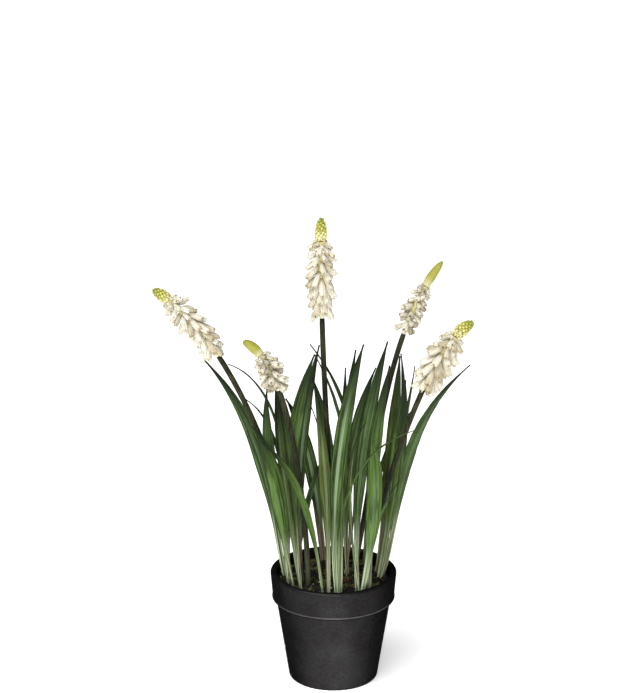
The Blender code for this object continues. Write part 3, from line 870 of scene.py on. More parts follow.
# %% Floret finish
FloretTints = namedtuple("FloretTints", "light warm blotch fibre neck tip mouth")
OPEN_TINTS = FloretTints("dedacf", "d0c9b8", "b0a27c", "a39866", "8c8440", "8f8058", "5f5338")
YOUNG_TINTS = FloretTints("d8d3c5", "c3bca9", "948a6b", "867e58", "78763f", "766b4c", "574d35")
TRANSLUCENT = {
    "Subsurface_Weight": 0.4, "Subsurface_Scale": 1.5 * MM, "Subsurface_Radius": (1.0, 0.8, 0.5),
}


def floret_finish(name, tints):
    finish = Finish(name, Specular_IOR_Level=0.3, **TRANSLUCENT)
    along, tone = finish.read("along"), finish.read("tone")
    x, y, z = finish.split(finish.read("rest", "Vector"))
    around = finish.math("ARCTAN2", y, x)
    seed = tone * 37.0
    blotch = finish.noise(finish.join(x * 1.6 + seed, y * 1.6, z * 1.4), 1.5, 3.0)
    ribs = finish.math("SINE", around * 6.0 + seed) * 0.5 + 0.5
    fibre = finish.noise(finish.join(around * 2.2, z * 0.8, seed), 3.0, 3.0)
    aged = tone.step(0.78, 0.88) * along.step(0.3, 0.95)
    colour = finish.coats(
        finish.mix(tone, tints.light, tints.warm),
        (blotch.step(0.48, 0.75) * 0.6, tints.blotch),
        (fibre.step(0.5, 0.72) * 0.55, tints.fibre),
        # painted shade: the grooves between the ribs are darkened
        (ribs.step(0.35, 0.0) * 0.35, tints.blotch),
        ((along + blotch * 0.25).step(0.5, 0.12) * 0.75, tints.neck),
        (aged * 0.5, tints.tip),
        (along.step(0.84, 1.02) * tone.step(0.1, 0.8) * 0.6, tints.tip),
        (along.step(1.02, 1.14) * 0.8, tints.mouth),
    )
    normal = finish.bump(ribs * 0.8 + fibre * 0.6, 0.22 * MM, 0.7)
    finish.put(Base_Color=colour, Roughness=0.5 + blotch * 0.15, Normal=normal)
    return finish.material


def core_finish():
    """The core under the florets: cream at the foot of the bloom, and more olive above."""
    finish = Finish("pale_core", Specular_IOR_Level=0.3)
    clouds = finish.noise(finish.place, 500.0, 4.0)
    lines = finish.noise(finish.stretch(finish.place, 1.0, 1.0, 0.1), 1500.0, 3.0)
    colour = finish.mix(finish.read("rise").step(0.05, 0.5), "d3cdb4", "c2b988")
    colour = finish.mix(clouds.step(0.4, 0.75) * 0.5, colour, "a89c68")
    normal = finish.bump(lines, 0.1 * MM, 0.6)
    finish.put(Base_Color=colour, Roughness=0.6 + clouds * 0.1, Normal=normal)
    return finish.material


bloom_materials = (
    floret_finish("cream_florets", OPEN_TINTS), floret_finish("young_florets", YOUNG_TINTS), core_finish(),
)
print("finishes of the blooms:", [material.name for material in bloom_materials])

# %% [markdown]
# ## Placing the florets
# Florets leave the core by the golden angle, the rule that keeps a spike evenly covered however many there
# are. They hang steeply at the foot, stand out in the middle, and droop a little near the top, where they
# also get smaller, and a collar of small ones fills the step up to the bud tip.

# %% Placing the florets
GOLDEN_ANGLE = math.radians(137.5)
CORE_RADIUS = 1.9 * MM
CORE_TOP_RADIUS = 1.8 * MM
FLORET_SINK = 0.8 * MM
SIDE_SCATTER = 0.25
DIP_SCATTER = 10.0
DIP_SHARES = (0, 0.2, 0.5, 0.8, 1)
SAG = 0.35
TOP_SIZE = 0.66
COLLAR_COUNT = 20
COLLAR_REACH = 5.0  # mm below the bud cone that the collar starts
COLLAR_SIZES = (0.6, 0.34)
COLLAR_BREADTH = 1.25
COLLAR_DIPS = (20, -15)


def spoke(axis, turn):
    """A direction square to an axis, turned round it."""
    side = axis.orthogonal().normalized()
    side.rotate(Matrix.Rotation(turn, 3, axis))
    return side


def hung(path, distance, turn, dip, core, length, width):
    """Matrix of a floret that leaves a core of this radius, dips by so many degrees and sags."""
    axis = path.heading(distance)
    side = spoke(axis, turn)
    dip = math.radians(dip)
    forward = side * math.cos(dip) - axis * math.sin(dip)
    forward.z -= SAG
    root = path.at(distance) + side * (core - FLORET_SINK)
    return basis(root, forward) @ Matrix.Diagonal((width, width, length + FLORET_SINK, 1))


def floret_place(path, start, flower, k, draw):
    """Matrix of floret k of a spike whose bloom starts at start."""
    share = (k + 0.5) / flower.florets
    distance = start + (flower.lead + (flower.bloom - flower.lead) * share) * MM
    turn = k * GOLDEN_ANGLE + draw.uniform(-SIDE_SCATTER, SIDE_SCATTER)
    dip = np.interp(share, DIP_SHARES, flower.dips) + draw.uniform(-DIP_SCATTER, DIP_SCATTER)
    size = np.interp(share, (0.5, 1), (1, TOP_SIZE))
    core = np.interp(share, (0, 1), (CORE_RADIUS, CORE_TOP_RADIUS))
    length, width = (measure * MM * size for measure in flower.floret)
    return hung(path, distance, turn, dip, core, length, width)


def collar_place(path, start, flower, k, draw):
    """Matrix of one of the small florets that fill the step from the bloom to its bud cone."""
    share = (k + 0.5) / COLLAR_COUNT
    distance = start + (flower.bloom - COLLAR_REACH * (1 - share)) * MM
    turn = k * GOLDEN_ANGLE + draw.uniform(0, 1)
    dip = np.interp(share, (0, 1), COLLAR_DIPS) + draw.uniform(-DIP_SCATTER, DIP_SCATTER)
    size = np.interp(share, (0, 1), COLLAR_SIZES)
    length, width = (measure * MM * size for measure in flower.floret)
    return hung(path, distance, turn, dip, CORE_TOP_RADIUS, length, width * COLLAR_BREADTH)


lowest = floret_place(AXES["centre"], BLOOM_STARTS["centre"], FLOWERS["centre"], 0, random.Random(0))
print("place of the centre spike's lowest floret, mm:", [round(value / MM) for value in lowest.translation])

# %% [markdown]
# ## Shapes on points
# A mesh of points carries the turn, the size, the kind and the tone of each floret or bead, and one tree puts
# the shapes on them. What it grows can then be joined with a core or a cone in one mesh, because the real
# head is moulded in one piece.

# %% Shapes on points
def scatter_tree():
    """Puts one shape of a collection on every point, with the turn and size that the point carries."""
    tree = Growth("scatter", shapes=bpy.types.Collection)
    turn = tree.node("FunctionNodeEulerToRotation", values={"Euler": tree.read("turn", "FLOAT_VECTOR")})
    size = tree.read("size", "FLOAT_VECTOR")
    values = {"Instance Index": tree.read("kind"), "Rotation": turn, "Scale": size}
    return tree.end(tree.scatter(tree.start, values))


SCATTER = scatter_tree()


def scattered(name, places, shapes, material, draw, rises):
    """Shapes at places, which are matrices, with a random kind and tone each."""
    points = new_mesh(
        name, [place.to_translation() for place in places],
        turn=[tuple(place.to_euler()) for place in places],
        size=[tuple(place.to_scale()) for place in places],
        kind=[float(draw.randrange(len(shapes.objects))) for _ in places],
        tone=[draw.random() for _ in places],
        rise=rises,
    )
    return grow(name, points, SCATTER, shapes=shapes, finish=material)


def joined(base, other):
    """Joins two objects in one mesh, in which both keep their materials and attributes."""
    with bpy.context.temp_override(active_object=base, selected_editable_objects=[base, other]):
        bpy.ops.object.join()
    return base


print("nodes in the tree that scatters shapes:", len(SCATTER.tree.nodes))

# %% [markdown]
# ## The core of a bloom
# The florets sit on a slim core that ends under the bud cone. It is swept as the stems are, and its radius
# follows the bloom: a small chamfer at the foot, a nearly straight side, and the width of the bud cone's foot
# at the top.

# %% The core of a bloom
CORE_STEPS = 30
CORE_SIDES = 14
CORE_RISES = (0, 0.03, 0.9, 1)
CORE_END = 0.85  # radius of the core's ends, as a part of its own and of the bud cone's
BUD_FOOT = 0.86


def eased(value, low, high):
    """0 below low, 1 above high, and a smooth step between."""
    share = min(max((value - low) / (high - low), 0.0), 1.0)
    return share * share * (3 - 2 * share)


def bud_radius(share, flower):
    """Radius of a bud cone, full near its foot and rounded off to its tip."""
    width, bluntness = flower.bud[1:]
    foot = BUD_FOOT + (1 - BUD_FOOT) * eased(share, 0, 0.3)
    return width / 2 * MM * max(1 - share**bluntness, 0.0) ** 0.5 * foot


def make_core(name, flower, material):
    path, start = AXES[name], BLOOM_STARTS[name]
    rises = np.linspace(0, 1, CORE_STEPS)
    points = [path.at(start + rise * flower.bloom * MM) for rise in rises]
    foot, top = CORE_END * CORE_RADIUS, CORE_END * bud_radius(0, flower)
    radii = np.interp(rises, CORE_RISES, (foot, CORE_RADIUS, CORE_TOP_RADIUS, top))
    mesh = spine_mesh("core", points, radii, rise=rises)
    return grow("core_" + name, mesh, TUBE, sides=CORE_SIDES, finish=material)


print("radius of a bud cone's foot, mm:", round(bud_radius(0, FLOWERS["centre"]) / MM, 2))

# %% [markdown]
# ## The blooms
# Every bloom draws its places from one seed and its looks from another, so a change in one leaves the other
# as it was. Its florets vary a little in size, and its core is joined with them.

# %% The blooms
SIZE_SPREAD = (0.94, 1.16)


def make_bloom(name, flower, materials):
    path, start = AXES[name], BLOOM_STARTS[name]
    draw = random.Random(name)
    places = [floret_place(path, start, flower, k, draw) for k in range(flower.florets)]
    places += [collar_place(path, start, flower, k, draw) for k in range(COLLAR_COUNT)]
    rises = [(k + 0.5) / flower.florets for k in range(flower.florets)] + [1.0] * COLLAR_COUNT
    looks = random.Random("looks of " + name)
    places = [place @ Matrix.Scale(looks.uniform(*SIZE_SPREAD), 4) for place in places]
    open_material, young_material, core_material = materials
    shapes, material = (DROPS, open_material) if flower.is_open else (CUPS, young_material)
    bloom = scattered("bloom_head_" + name, places, shapes, material, looks, rises)
    bloom = joined(bloom, make_core(name, flower, core_material))
    hand_in(bloom, "floret", "bloom_" + name)


for flower_name, flower_numbers in FLOWERS.items():
    make_bloom(flower_name, flower_numbers, bloom_materials)

# %% [markdown]
# ## Bud tips
# The tip of a spike is a cone of closed buds, yellow green above and cream at its foot. On the open spikes
# the buds are round beads with dark points, packed by the golden angle at equal areas. On the young ones they
# lie so tight that the cone is almost smooth. Both have a turned cone under them.

# %% Bud finishes
def bud_finish():
    finish = Finish("green_buds", Specular_IOR_Level=0.4, Subsurface_Weight=0.08, Subsurface_Scale=1.0 * MM)
    rise, tone, along = (finish.read(name) for name in ("rise", "tone", "along"))
    clouds = finish.noise(finish.place, 420.0, 4.0)
    height = rise + (clouds - 0.5) * 0.3 + (tone - 0.5) * 0.15
    colour = finish.coats(
        finish.mix(clouds.step(0.35, 0.7), "cdc49c", "bfba78"),
        (height.step(0.1, 0.5), finish.mix(clouds.step(0.3, 0.7), "94982f", "b4b048")),
        (height.step(0.55, 1.0) * 0.75, "78872c"),
        # painted highlight: cream on the outer ends of the beads, strongest towards the foot of the cone
        (along.step(0.6, 0.92) * height.step(0.95, 0.3) * 0.6, "d9d193"),
        # painted shade: olive at the feet of the beads and on the cone in the gaps between them
        (along.step(0.66, 0.25) * 0.85, "5d5f22"),
        (along.step(0.86, 0.97) * tone.step(0.55, 0.6) * 0.85, "4f4c20"),
    )
    normal = finish.bump(clouds, 0.12 * MM, 0.6)
    finish.put(Base_Color=colour, Roughness=0.42 + clouds * 0.15, Normal=normal)
    return finish.material


def smooth_bud_finish():
    """The tight tip of a young spike: an olive-yellow cone with faint scales in slanting rows."""
    finish = Finish("smooth_buds", Specular_IOR_Level=0.4)
    rise = finish.read("rise")
    x, y, z = finish.split(finish.read("rest", "Vector"))
    around = finish.math("ARCTAN2", y, x)
    left = finish.math("SINE", around * 5.0 + z * 55.0)
    right = finish.math("SINE", around * 8.0 - z * 40.0)
    scales = left * right * 0.5 + 0.5
    clouds = finish.noise(finish.place, 300.0, 4.0)
    colour = finish.coats(
        finish.mix(clouds.step(0.35, 0.7), "929434", "a59c3e"),
        ((rise + (clouds - 0.5) * 0.2).step(0.4, 0.06) * 0.9, "cdc79c"),
        (rise.step(0.72, 1.0) * 0.6, "6d802c"),
        (scales.step(0.62, 0.25) * 0.5, "62631f"),
    )
    normal = finish.bump(scales, 0.1 * MM, 0.6)
    finish.put(Base_Color=colour, Roughness=0.45 + clouds * 0.12, Normal=normal)
    return finish.material


bud_materials = (bud_finish(), smooth_bud_finish())
print("finishes of the bud tips:", [material.name for material in bud_materials])

# %% [markdown]
# ## The cone of a bud tip
# The cone follows the end of the spike's axis. Its rings crowd towards the tip, by a sine, because that is
# where it rounds off. Every point also keeps its place on a plain cylinder, for the pattern of scales.

# %% The cone of a bud tip
BUD_SIDES = 28
BUD_RINGS = 26
LEAST_RADIUS = 0.05 * MM
CONE_TONE = 0.3


def cone_mesh(name, path, start, flower, inset):
    """The turned cone of a bud tip, closed at both ends."""
    points, rest = [path.at(start)], [(0, 0, 0)]
    for i in range(BUD_RINGS):
        share = math.sin(math.pi / 2 * i / BUD_RINGS)
        distance = start + (path.length - start) * share
        place = basis(path.at(distance), path.heading(distance))
        radius = max(bud_radius(share, flower) - inset, LEAST_RADIUS)
        for angle in turns(BUD_SIDES):
            points.append(place @ Vector((radius * math.cos(angle), radius * math.sin(angle), 0)))
            rest.append((math.cos(angle), math.sin(angle), share))
    points.append(path.at(path.length) - path.heading(path.length) * inset)
    rest.append((0, 0, 1))
    rises = [place[2] for place in rest]
    level = [CONE_TONE] * len(points)
    faces = closed_faces(BUD_RINGS, BUD_SIDES)
    return new_mesh(name, points, faces=faces, rise=rises, rest=rest, tone=level, along=level)


print("points of a cone:", BUD_RINGS * BUD_SIDES + 2)

# %% [markdown]
# ## The beads
# The surface of the cone is measured first, in thin slices, so that the beads can be dealt out at equal areas
# and lie as close at the tip as at the foot. They lean upwards more and more, and get smaller.

# %% The beads
BEAD_SIZE = 2.6 * MM
BEADS_PER_AREA = 0.2 / MM / MM
BEAD_INSET = 1.0 * MM  # how far the cone under the beads lies below their outer ends
BEAD_LEANS = ((0, 0.2, 0.8, 1), (-0.1, 0.25, 0.7, 2.5))  # shares of the height, and the lean at each
BEAD_SCALES = ((0, 0.15, 1), (1.05, 1.0, 0.74))
AREA_SAMPLES = 200


def bead_places(path, start, flower):
    """Matrices of beads at equal areas of the cone, and how far up it each one is."""
    shares = np.linspace(0, 1, AREA_SAMPLES)
    radii = np.array([bud_radius(share, flower) for share in shares])
    steps = np.hypot(np.diff(shares) * (path.length - start), np.diff(radii))
    area = np.concatenate([[0], np.cumsum(steps * math.pi * (radii[1:] + radii[:-1]))])
    count = int(area[-1] * BEADS_PER_AREA)
    places, rises = [], []
    for n in range(count):
        share = float(np.interp((n + 0.5) / count * area[-1], area, shares))
        distance = start + (path.length - start) * share
        axis = path.heading(distance)
        side = spoke(axis, n * GOLDEN_ANGLE)
        forward = (side + axis * float(np.interp(share, *BEAD_LEANS))).normalized()
        size = BEAD_SIZE * float(np.interp(share, *BEAD_SCALES))
        outer = path.at(distance) + side * bud_radius(share, flower)
        places.append(basis(outer - forward * size, forward) @ Matrix.Diagonal((size, size, size, 1)))
        rises.append(share)
    return places, rises


def make_buds(name, flower, beaded, smooth):
    path = AXES[name]
    start = path.length - flower.bud[0] * MM + BUTT_GAP
    mesh = cone_mesh("cone", path, start, flower, BEAD_INSET if flower.is_open else 0.0)
    mesh.materials.append(beaded if flower.is_open else smooth)
    mesh.shade_smooth()
    buds = new_object("bud_tip_" + name, mesh)
    if flower.is_open:
        places, rises = bead_places(path, start, flower)
        looks = random.Random("beads of " + name)
        buds = joined(buds, scattered("beads_" + name, places, BEADS, beaded, looks, rises))
    hand_in(buds, "bud", "buds_" + name)


for flower_name, flower_numbers in FLOWERS.items():
    make_buds(flower_name, flower_numbers, *bud_materials)

# %% [markdown]
# ## The leaves' numbers
# Leaves stand in tufts of two to four. Each rises from its root towards its bend and arches over to its tip,
# and some pass one more handle, their foot, on the way. Turn is the direction that a leaf's width lies in,
# and whip the share of its length that tapers to the point.

# %% The leaves' numbers
Leaf = namedtuple("Leaf", "root bend tip width turn whip foot", defaults=(0.32, None))
TUFTS = {
    "far_left": (
        Leaf((-31, 4), (-40, -3, 168), (-80, -6, 213), 8.5, 10, 0.52, (-39, 1, 108)),
        Leaf((-29, 7), (-24, 9, 191), (-66, 12, 204), 4.8, 80),
        Leaf((-30, 7), (-27, 4, 166), (-55, 14, 180), 4.6, 70),
    ),
    "left_front": (
        Leaf((-28, -9), (-33, -28, 157), (-50, -27, 177), 9.5, 15),
        Leaf((-26, -12), (-45, -21, 163), (-41, -12, 196), 7.5, -20),
    ),
    "left_inner": (
        Leaf((-21, -17), (-36, -4, 161), (-36, -5, 196), 6.5, 30),
        Leaf((-21, -16), (-27, -11, 165), (-36, -8, 195), 6.0, 40),
    ),
    "left_middle": (
        Leaf((-21, 4), (-36, -4, 153), (-12, -12, 218), 8.0, -15),
        Leaf((-20, 5), (-26, -2, 147), (-9, -2, 221), 7.5, 20),
        Leaf((-22, 7), (-20, 6, 113), (-4, 8, 149), 5.0, 40),
    ),
    "back_left": (
        Leaf((-6, 29), (-12, 20, 150), (-30, 16, 180), 8.5, 10),
        Leaf((-8, 29), (-12, 24, 102), (-17, 24, 150), 3.6, 60),
        Leaf((-5, 30), (1, 27, 131), (-14, 22, 172), 3.6, 80),
    ),
    "front_left": (
        Leaf((-7, -25), (-15, -33, 146), (-44, -42, 172), 4.6, 25),
        Leaf((-3, -26), (-3, -12, 154), (-13, -6, 200), 8.0, -20, 0.55),
    ),
    "front_centre": (
        Leaf((2, -25), (-5, -18, 152), (18, -10, 224), 9.0, 5),
        Leaf((4, -24), (5, -10, 160), (7, -4, 207), 6.5, 30),
        Leaf((4, -26), (-4, -33, 159), (49, -48, 182), 4.6, 75),
    ),
    "centre": (
        Leaf((9, 6), (4, 0, 152), (26, 8, 203), 7.5, 20),
        Leaf((7, 7), (26, 9, 165), (-15, 12, 217), 4.6, 60),
        Leaf((8, 4), (16, 3, 160), (-12, -6, 216), 4.6, 65),
    ),
    "right_front": (
        Leaf((15, -21), (11, -9, 149), (33, 2, 222), 8.0, -10),
        Leaf((18, -22), (29, -27, 132), (23, -28, 168), 9.4, 0, 0.22),
        Leaf((16, -22), (3, -12, 147), (19, -30, 180), 4.0, 50),
    ),
    "right_inner": (
        Leaf((22, -17), (21, -13, 161), (34, -9, 209), 7.5, 10),
        Leaf((24, -15), (21, -19, 106), (40, -26, 141), 4.0, 60),
    ),
    "right_middle": (
        Leaf((29, 1), (41, -1, 144), (44, -4, 199), 9.5, 0),
        Leaf((31, 1), (36, 3, 162), (84, 1, 207), 8.0, 20, 0.5, (44, 3, 106)),
    ),
    "far_right": (
        Leaf((28, 9), (36, 9, 146), (41, 13, 209), 7.5, 5),
        Leaf((28, 10), (51, 19, 143), (42, 21, 208), 6.0, 40),
        Leaf((29, 9), (40, 9, 156), (73, 9, 193), 5.0, 60, 0.4, (46, 12, 106)),
        Leaf((27, 10), (44, 20, 146), (51, 24, 199), 4.6, 50),
    ),
    "back_centre": (
        Leaf((2, 25), (6, 24, 160), (14, 38, 205), 6.5, 10),
        Leaf((3, 27), (0, 40, 150), (-14, 62, 180), 6.0, 30),
    ),
    "back_right": (
        Leaf((20, 22), (26, 34, 150), (36, 52, 190), 6.5, -30),
        Leaf((22, 20), (24, 26, 140), (54, 40, 168), 5.0, -60),
    ),
    "back_far_left": (
        Leaf((-21, 19), (-30, 28, 150), (-38, 46, 188), 6.5, 40),
        Leaf((-22, 17), (-36, 24, 140), (-62, 34, 166), 5.0, 60),
    ),
}
print(sum(len(leaves) for leaves in TUFTS.values()), "leaves in", len(TUFTS), "tufts")

# %% [markdown]
# ## Leaf finish
# The real leaves are printed fabric: a mid green with fine lengthwise veins, a pale stripe down the middle of
# some, darker whip-like tips, and stalks that pale to a whitish green and turn brown at the very foot. All of
# that follows the leaf and not the space round it, so the material reads how far along and across the leaf
# each point is, and the tone that each leaf carries.

# %% Leaf finish
def leaf_finish():
    finish = Finish("leaf_fabric", Specular_IOR_Level=0.12)
    along, across, reach = (finish.read(name) for name in ("along", "across", "reach"))
    tone, stripe, brown, burnt = (finish.read(name) for name in ("tone", "stripe", "brown", "burnt"))

    def lines(over, down, detail):
        """Noise drawn out along the leaf: its scale across and down it."""
        return finish.noise(finish.join(across * over, reach * down, tone * 53.0), 1.0, detail)

    veins, broad, fine = lines(9.0, 12.0, 4.0), lines(3.0, 40.0, 2.0), lines(34.0, 60.0, 2.0)
    weave, strands = lines(60.0, 2600.0, 2.0), lines(4.0, 18.0, 2.0)
    olive = finish.math("FRACT", tone * 3.7)
    middle = finish.math("ABSOLUTE", across - 0.5)
    band = (middle + (veins - 0.5) * 0.12).step(0.16, 0.05) * along.band(0.12, 0.3, 0.6, 0.95)
    # painted shade: a dark line down the crease of the fold
    crease_shade = middle.step(0.025, 0.0) * along.step(0.1, 0.25)
    pale = along.step(0.34, 0.05) * (0.15 + strands.step(0.42, 0.56) * 0.85) * (1.0 - olive * 0.3)
    # painted shade: a dark line down the channel of the stalk
    channel_shade = (middle + (fine - 0.5) * 0.1).step(0.15, 0.05) * along.step(0.42, 0.12)
    foot = (reach + (broad - 0.5) * 0.02).step(0.05, 0.008)
    colour = finish.coats(
        finish.mix(tone, "435c1c", "1e310f"),
        (olive.step(0.6, 0.9) * 0.8, "4f511a"),
        (veins.step(0.5, 0.58) * 0.75, "506c38"),
        (veins.step(0.48, 0.4) * 0.85, "1a2b10"),
        (broad.step(0.5, 0.64) * 0.7, "1b2b0e"),
        (fine.step(0.54, 0.66) * 0.35, "78925a"),
        (band * stripe, "86997a"),
        (crease_shade * 0.5, "1f3314"),
        # painted shade: the blade is darkened towards both edges
        (middle.step(0.4, 0.5) * 0.6, "141f0c"),
        (along.step(0.62, 0.96) * burnt * 0.92, "11190c"),
        (pale, "ccdab5"),
        (channel_shade * 0.85, "3d4c22"),
        (foot * brown, "6a4a3c"),
    )
    normal = finish.bump(veins + fine * 0.35 + weave * 0.25, 0.25 * MM, 0.8)
    finish.put(Base_Color=colour, Roughness=0.46 + veins * 0.2, Normal=normal)
    return finish.material


leaf_material = leaf_finish()
print("nodes in the leaf's finish:", len(leaf_material.node_tree.nodes))

# %% [markdown]
# ## Leaf shapes
# A blade is a strip with a soft fold down its middle, which turns into a deeper channel in its stalk. Its
# spine is a chain of points that carries half the width and the direction across, and a tree sweeps the
# folded section along it. A slight ripple keeps the edges from looking cut with a ruler.

# %% Leaf shapes
BLADE_FOLD = 0.34
FOLD_POWER = 1.25
SECTION = (-1.0, -0.8, -0.55, -0.3, -0.1, 0.0, 0.1, 0.3, 0.55, 0.8, 1.0)


def section_object():
    """The folded section of a blade, one unit from its middle to each edge."""
    points = [(s, BLADE_FOLD * abs(s) ** FOLD_POWER, 0) for s in SECTION]
    links = [(i, i + 1) for i in range(len(points) - 1)]
    mesh = new_mesh("blade_section", points, links, across=[(s + 1) / 2 for s in SECTION])
    return bpy.data.objects.new("blade_section", mesh)


def blade_tree():
    """Sweeps the section along the spines, then lifts the edges by the ripple and the stalk's channel."""
    tree = Growth("blade", section=bpy.types.Object, ripple=float, ripple_length=float)
    spine = tree.node("GeometryNodeMeshToCurve", values={"Mesh": tree.start})
    values = {"Curve": spine, "Normal": tree.read("way", "FLOAT_VECTOR")}
    spine = tree.node("GeometryNodeSetCurveNormal", {"mode": "FREE"}, values)
    section = tree.node("GeometryNodeObjectInfo", values={"Object": tree.given("section")}, out="Geometry")
    section = tree.node("GeometryNodeMeshToCurve", values={"Mesh": section})
    half, across = tree.read("half"), tree.read("across")
    values = {"Curve": spine, "Profile Curve": section, "Scale": half}
    blade = tree.node("GeometryNodeCurveToMesh", values=values)
    down = tree.read("reach") / tree.given("ripple_length")
    place = tree.join(across * 1.5, down, tree.read("tone") * 40.0)
    waves = tree.node("ShaderNodeTexNoise", values={"Vector": place, "Scale": 1.0, "Detail": 1.0})
    edge = (across - 0.5) * 2.0
    lift = ((waves - 0.5) * tree.given("ripple") + tree.read("cup")) * edge * edge * half
    values = {0: tree.read("face", "FLOAT_VECTOR"), "Scale": lift}
    offset = tree.node("ShaderNodeVectorMath", {"operation": "SCALE"}, values)
    return tree.end(tree.node("GeometryNodeSetPosition", values={"Geometry": blade, "Offset": offset}))


BLADE = blade_tree()
SECTION_SHAPE = section_object()
inputs = [item.name for item in BLADE.tree.interface.items_tree if item.in_out == "INPUT"]
print("inputs of the blade tree:", inputs)

# %% [markdown]
# ## The spine of a leaf
# A leaf starts a little under the crumbs, as a narrow stalk, widens to its blade and runs out in a whip. All
# of that is worked out point by point along its path. The fold opens towards the middle of the plant, as the
# real leaves do, and the blade twists a little from its foot to its tip.

# %% The spine of a leaf
BLADE_STEPS = 40
BLADE_TWIST = 14.0
BLADE_POINT = 1.0 * MM
FOLD_RISE = 30.0
FOLD_SHARE = 0.6  # share of a leaf's length at which the side of its fold is chosen
LEAF_SINK = 4.0 * MM
STALK_SHARE = 0.36
STALK_FOOT = 0.8  # width of the stalk's foot, as a part of the stalk's own
STALK_CUP = 0.55  # how much deeper the stalk's channel is than the fold, as a share of half the width
WIDENING = (0.18, 0.52)
WHIP_POWER = 1.6


def blade_width(share, whip):
    """Width of a leaf at a share of its length, as a part of its widest."""
    stalk = STALK_SHARE * (STALK_FOOT + (1 - STALK_FOOT) * eased(share, 0, 0.15))
    widening = stalk + (1 - STALK_SHARE) * eased(share, *WIDENING)
    return widening * (1 - max(0.0, (share - 1 + whip) / whip) ** WHIP_POWER)


def across_way(leaf, share, along):
    """The direction of the leaf's width at a share of its length, square to the path."""
    turn = math.radians(leaf.turn + BLADE_TWIST * (share - 0.5))
    way = Vector((math.cos(turn), math.sin(turn), 0))
    return (way - along * way.dot(along)).normalized()


def fold_side(leaf, root, path):
    """1 or -1, so that the fold opens towards the leaf's root and upwards in the leaf's upper part."""
    along = path.heading(FOLD_SHARE * path.length)
    inner_side = Vector((root.x - leaf.tip[0], root.y - leaf.tip[1], FOLD_RISE))
    return math.copysign(1, along.cross(across_way(leaf, FOLD_SHARE, along)).dot(inner_side))


def blade_spine(leaf, looks):
    """Points of a leaf's spine, each with the attributes that the tree and the material read."""
    root = Vector((*leaf.root, SOIL_TOP / MM))
    path = Path([root, leaf.foot, leaf.bend, leaf.tip] if leaf.foot else [root, leaf.bend, leaf.tip])
    side = fold_side(leaf, root, path)
    rows = []
    for i in range(-1, BLADE_STEPS + 1):
        share = max(i, 0) / BLADE_STEPS
        here = path.at(share * path.length)
        along = path.heading(share * path.length)
        if i < 0:
            here -= along * LEAF_SINK
        way = across_way(leaf, share, along) * side
        half = max(blade_width(share, leaf.whip) * leaf.width * MM, BLADE_POINT) / 2
        rows.append({
            "place": here, "way": way, "face": along.cross(way), "half": half, "along": share,
            "reach": share * path.length, "cup": STALK_CUP * (1 - eased(share, 0.1, 0.4)), **looks,
        })
    return rows


print("width of a leaf at every quarter:", [round(blade_width(k / 4, 0.32), 2) for k in range(5)])

# %% [markdown]
# ## The leaves' own looks
# No two of the real leaves are quite alike: some are lighter, some have a clear stripe, and those at the back
# are browner at the foot. Most draw their looks from a seed of their own, and those that stand out in the
# bunch have them chosen.

# %% The leaves' own looks
CHOSEN_LOOKS = {
    ("front_centre", 0): {"stripe": 0.8, "tone": 0.35},
    ("front_centre", 2): {"stripe": 0.0, "tone": 0.0, "burnt": 0.2},
    ("front_left", 0): {"tone": 0.0, "stripe": 0.0},
    ("front_left", 1): {"tone": 0.8},
    ("left_front", 0): {"tone": 0.1, "stripe": 0.0},
    ("right_front", 1): {"tone": 0.05, "stripe": 0.2},
    ("left_middle", 1): {"tone": 0.95},
    ("left_inner", 1): {"tone": 1.0},
    ("back_left", 0): {"tone": 0.9},
}
BACK_ROOTS = 3  # mm, the y past which a leaf stands at the back
BROWN_BACK = 0.85
BROWN_FRONT = 0.25


def leaf_looks(name, k, leaf):
    """Tone, and strength of the pale stripe, of the brown foot and of the burnt tip of a leaf."""
    draw = random.Random(f"leaf {name} {k}")
    tone, stripe, brown = draw.random(), draw.random() ** 2, draw.random()
    brown *= BROWN_BACK if leaf.root[1] > BACK_ROOTS else BROWN_FRONT
    looks = {"tone": tone, "stripe": stripe, "brown": brown, "burnt": eased(leaf.whip, 0.2, 0.32)}
    return {**looks, **CHOSEN_LOOKS.get((name, k), {})}


print("leaves with chosen looks:", len(CHOSEN_LOOKS))

# %% [markdown]
# ## Growing the tufts
# The leaves of a tuft are grown together in one piece, because they share one stub under the crumbs. A
# Solidify modifier then gives the fabric its thickness, half to each side.

# %% Growing the tufts
RIPPLE = 0.5
RIPPLE_LENGTH = 9 * MM
FABRIC_THICKNESS = 0.35 * MM
LEAF_CREASE = math.radians(55)


def make_tuft(name, leaves, material):
    rows, edges = [], []
    for k, leaf in enumerate(leaves):
        first = len(rows)
        rows += blade_spine(leaf, leaf_looks(name, k, leaf))
        edges += [(i, i + 1) for i in range(first, len(rows) - 1)]
    columns = {key: [row[key] for row in rows] for key in rows[0] if key != "place"}
    mesh = new_mesh("spines", [row["place"] for row in rows], edges, **columns)
    tuft = grow(
        "leaf_tuft_" + name, mesh, BLADE, section=SECTION_SHAPE, ripple=RIPPLE,
        ripple_length=RIPPLE_LENGTH, finish=material,
    )
    solidify = tuft.modifiers.new("thickness", "SOLIDIFY")
    solidify.thickness = FABRIC_THICKNESS
    solidify.offset = 0.0
    settle(tuft)
    tuft.data.shade_smooth()
    tuft.data.set_sharp_from_angle(angle=LEAF_CREASE)
    hand_in(tuft, "leaf", "leaves_" + name)


for tuft_name, tuft_leaves in TUFTS.items():
    make_tuft(tuft_name, tuft_leaves, leaf_material)

# %% [markdown]
# ## The studio
# A plant like this is shown on plain white. A very wide floor fills the view, because the camera looks down
# on it, and an even white world lights it all round. The floor also glows a little, like a light table, which
# keeps the shadow faint. A broad soft sun from the front left gives the form, and a soft box in front lifts
# the shadows. A small spot brightens the floor just in front of the pot, below the picture's edge, as a white
# card would, and the pot mirrors that patch as the sheen down its middle.

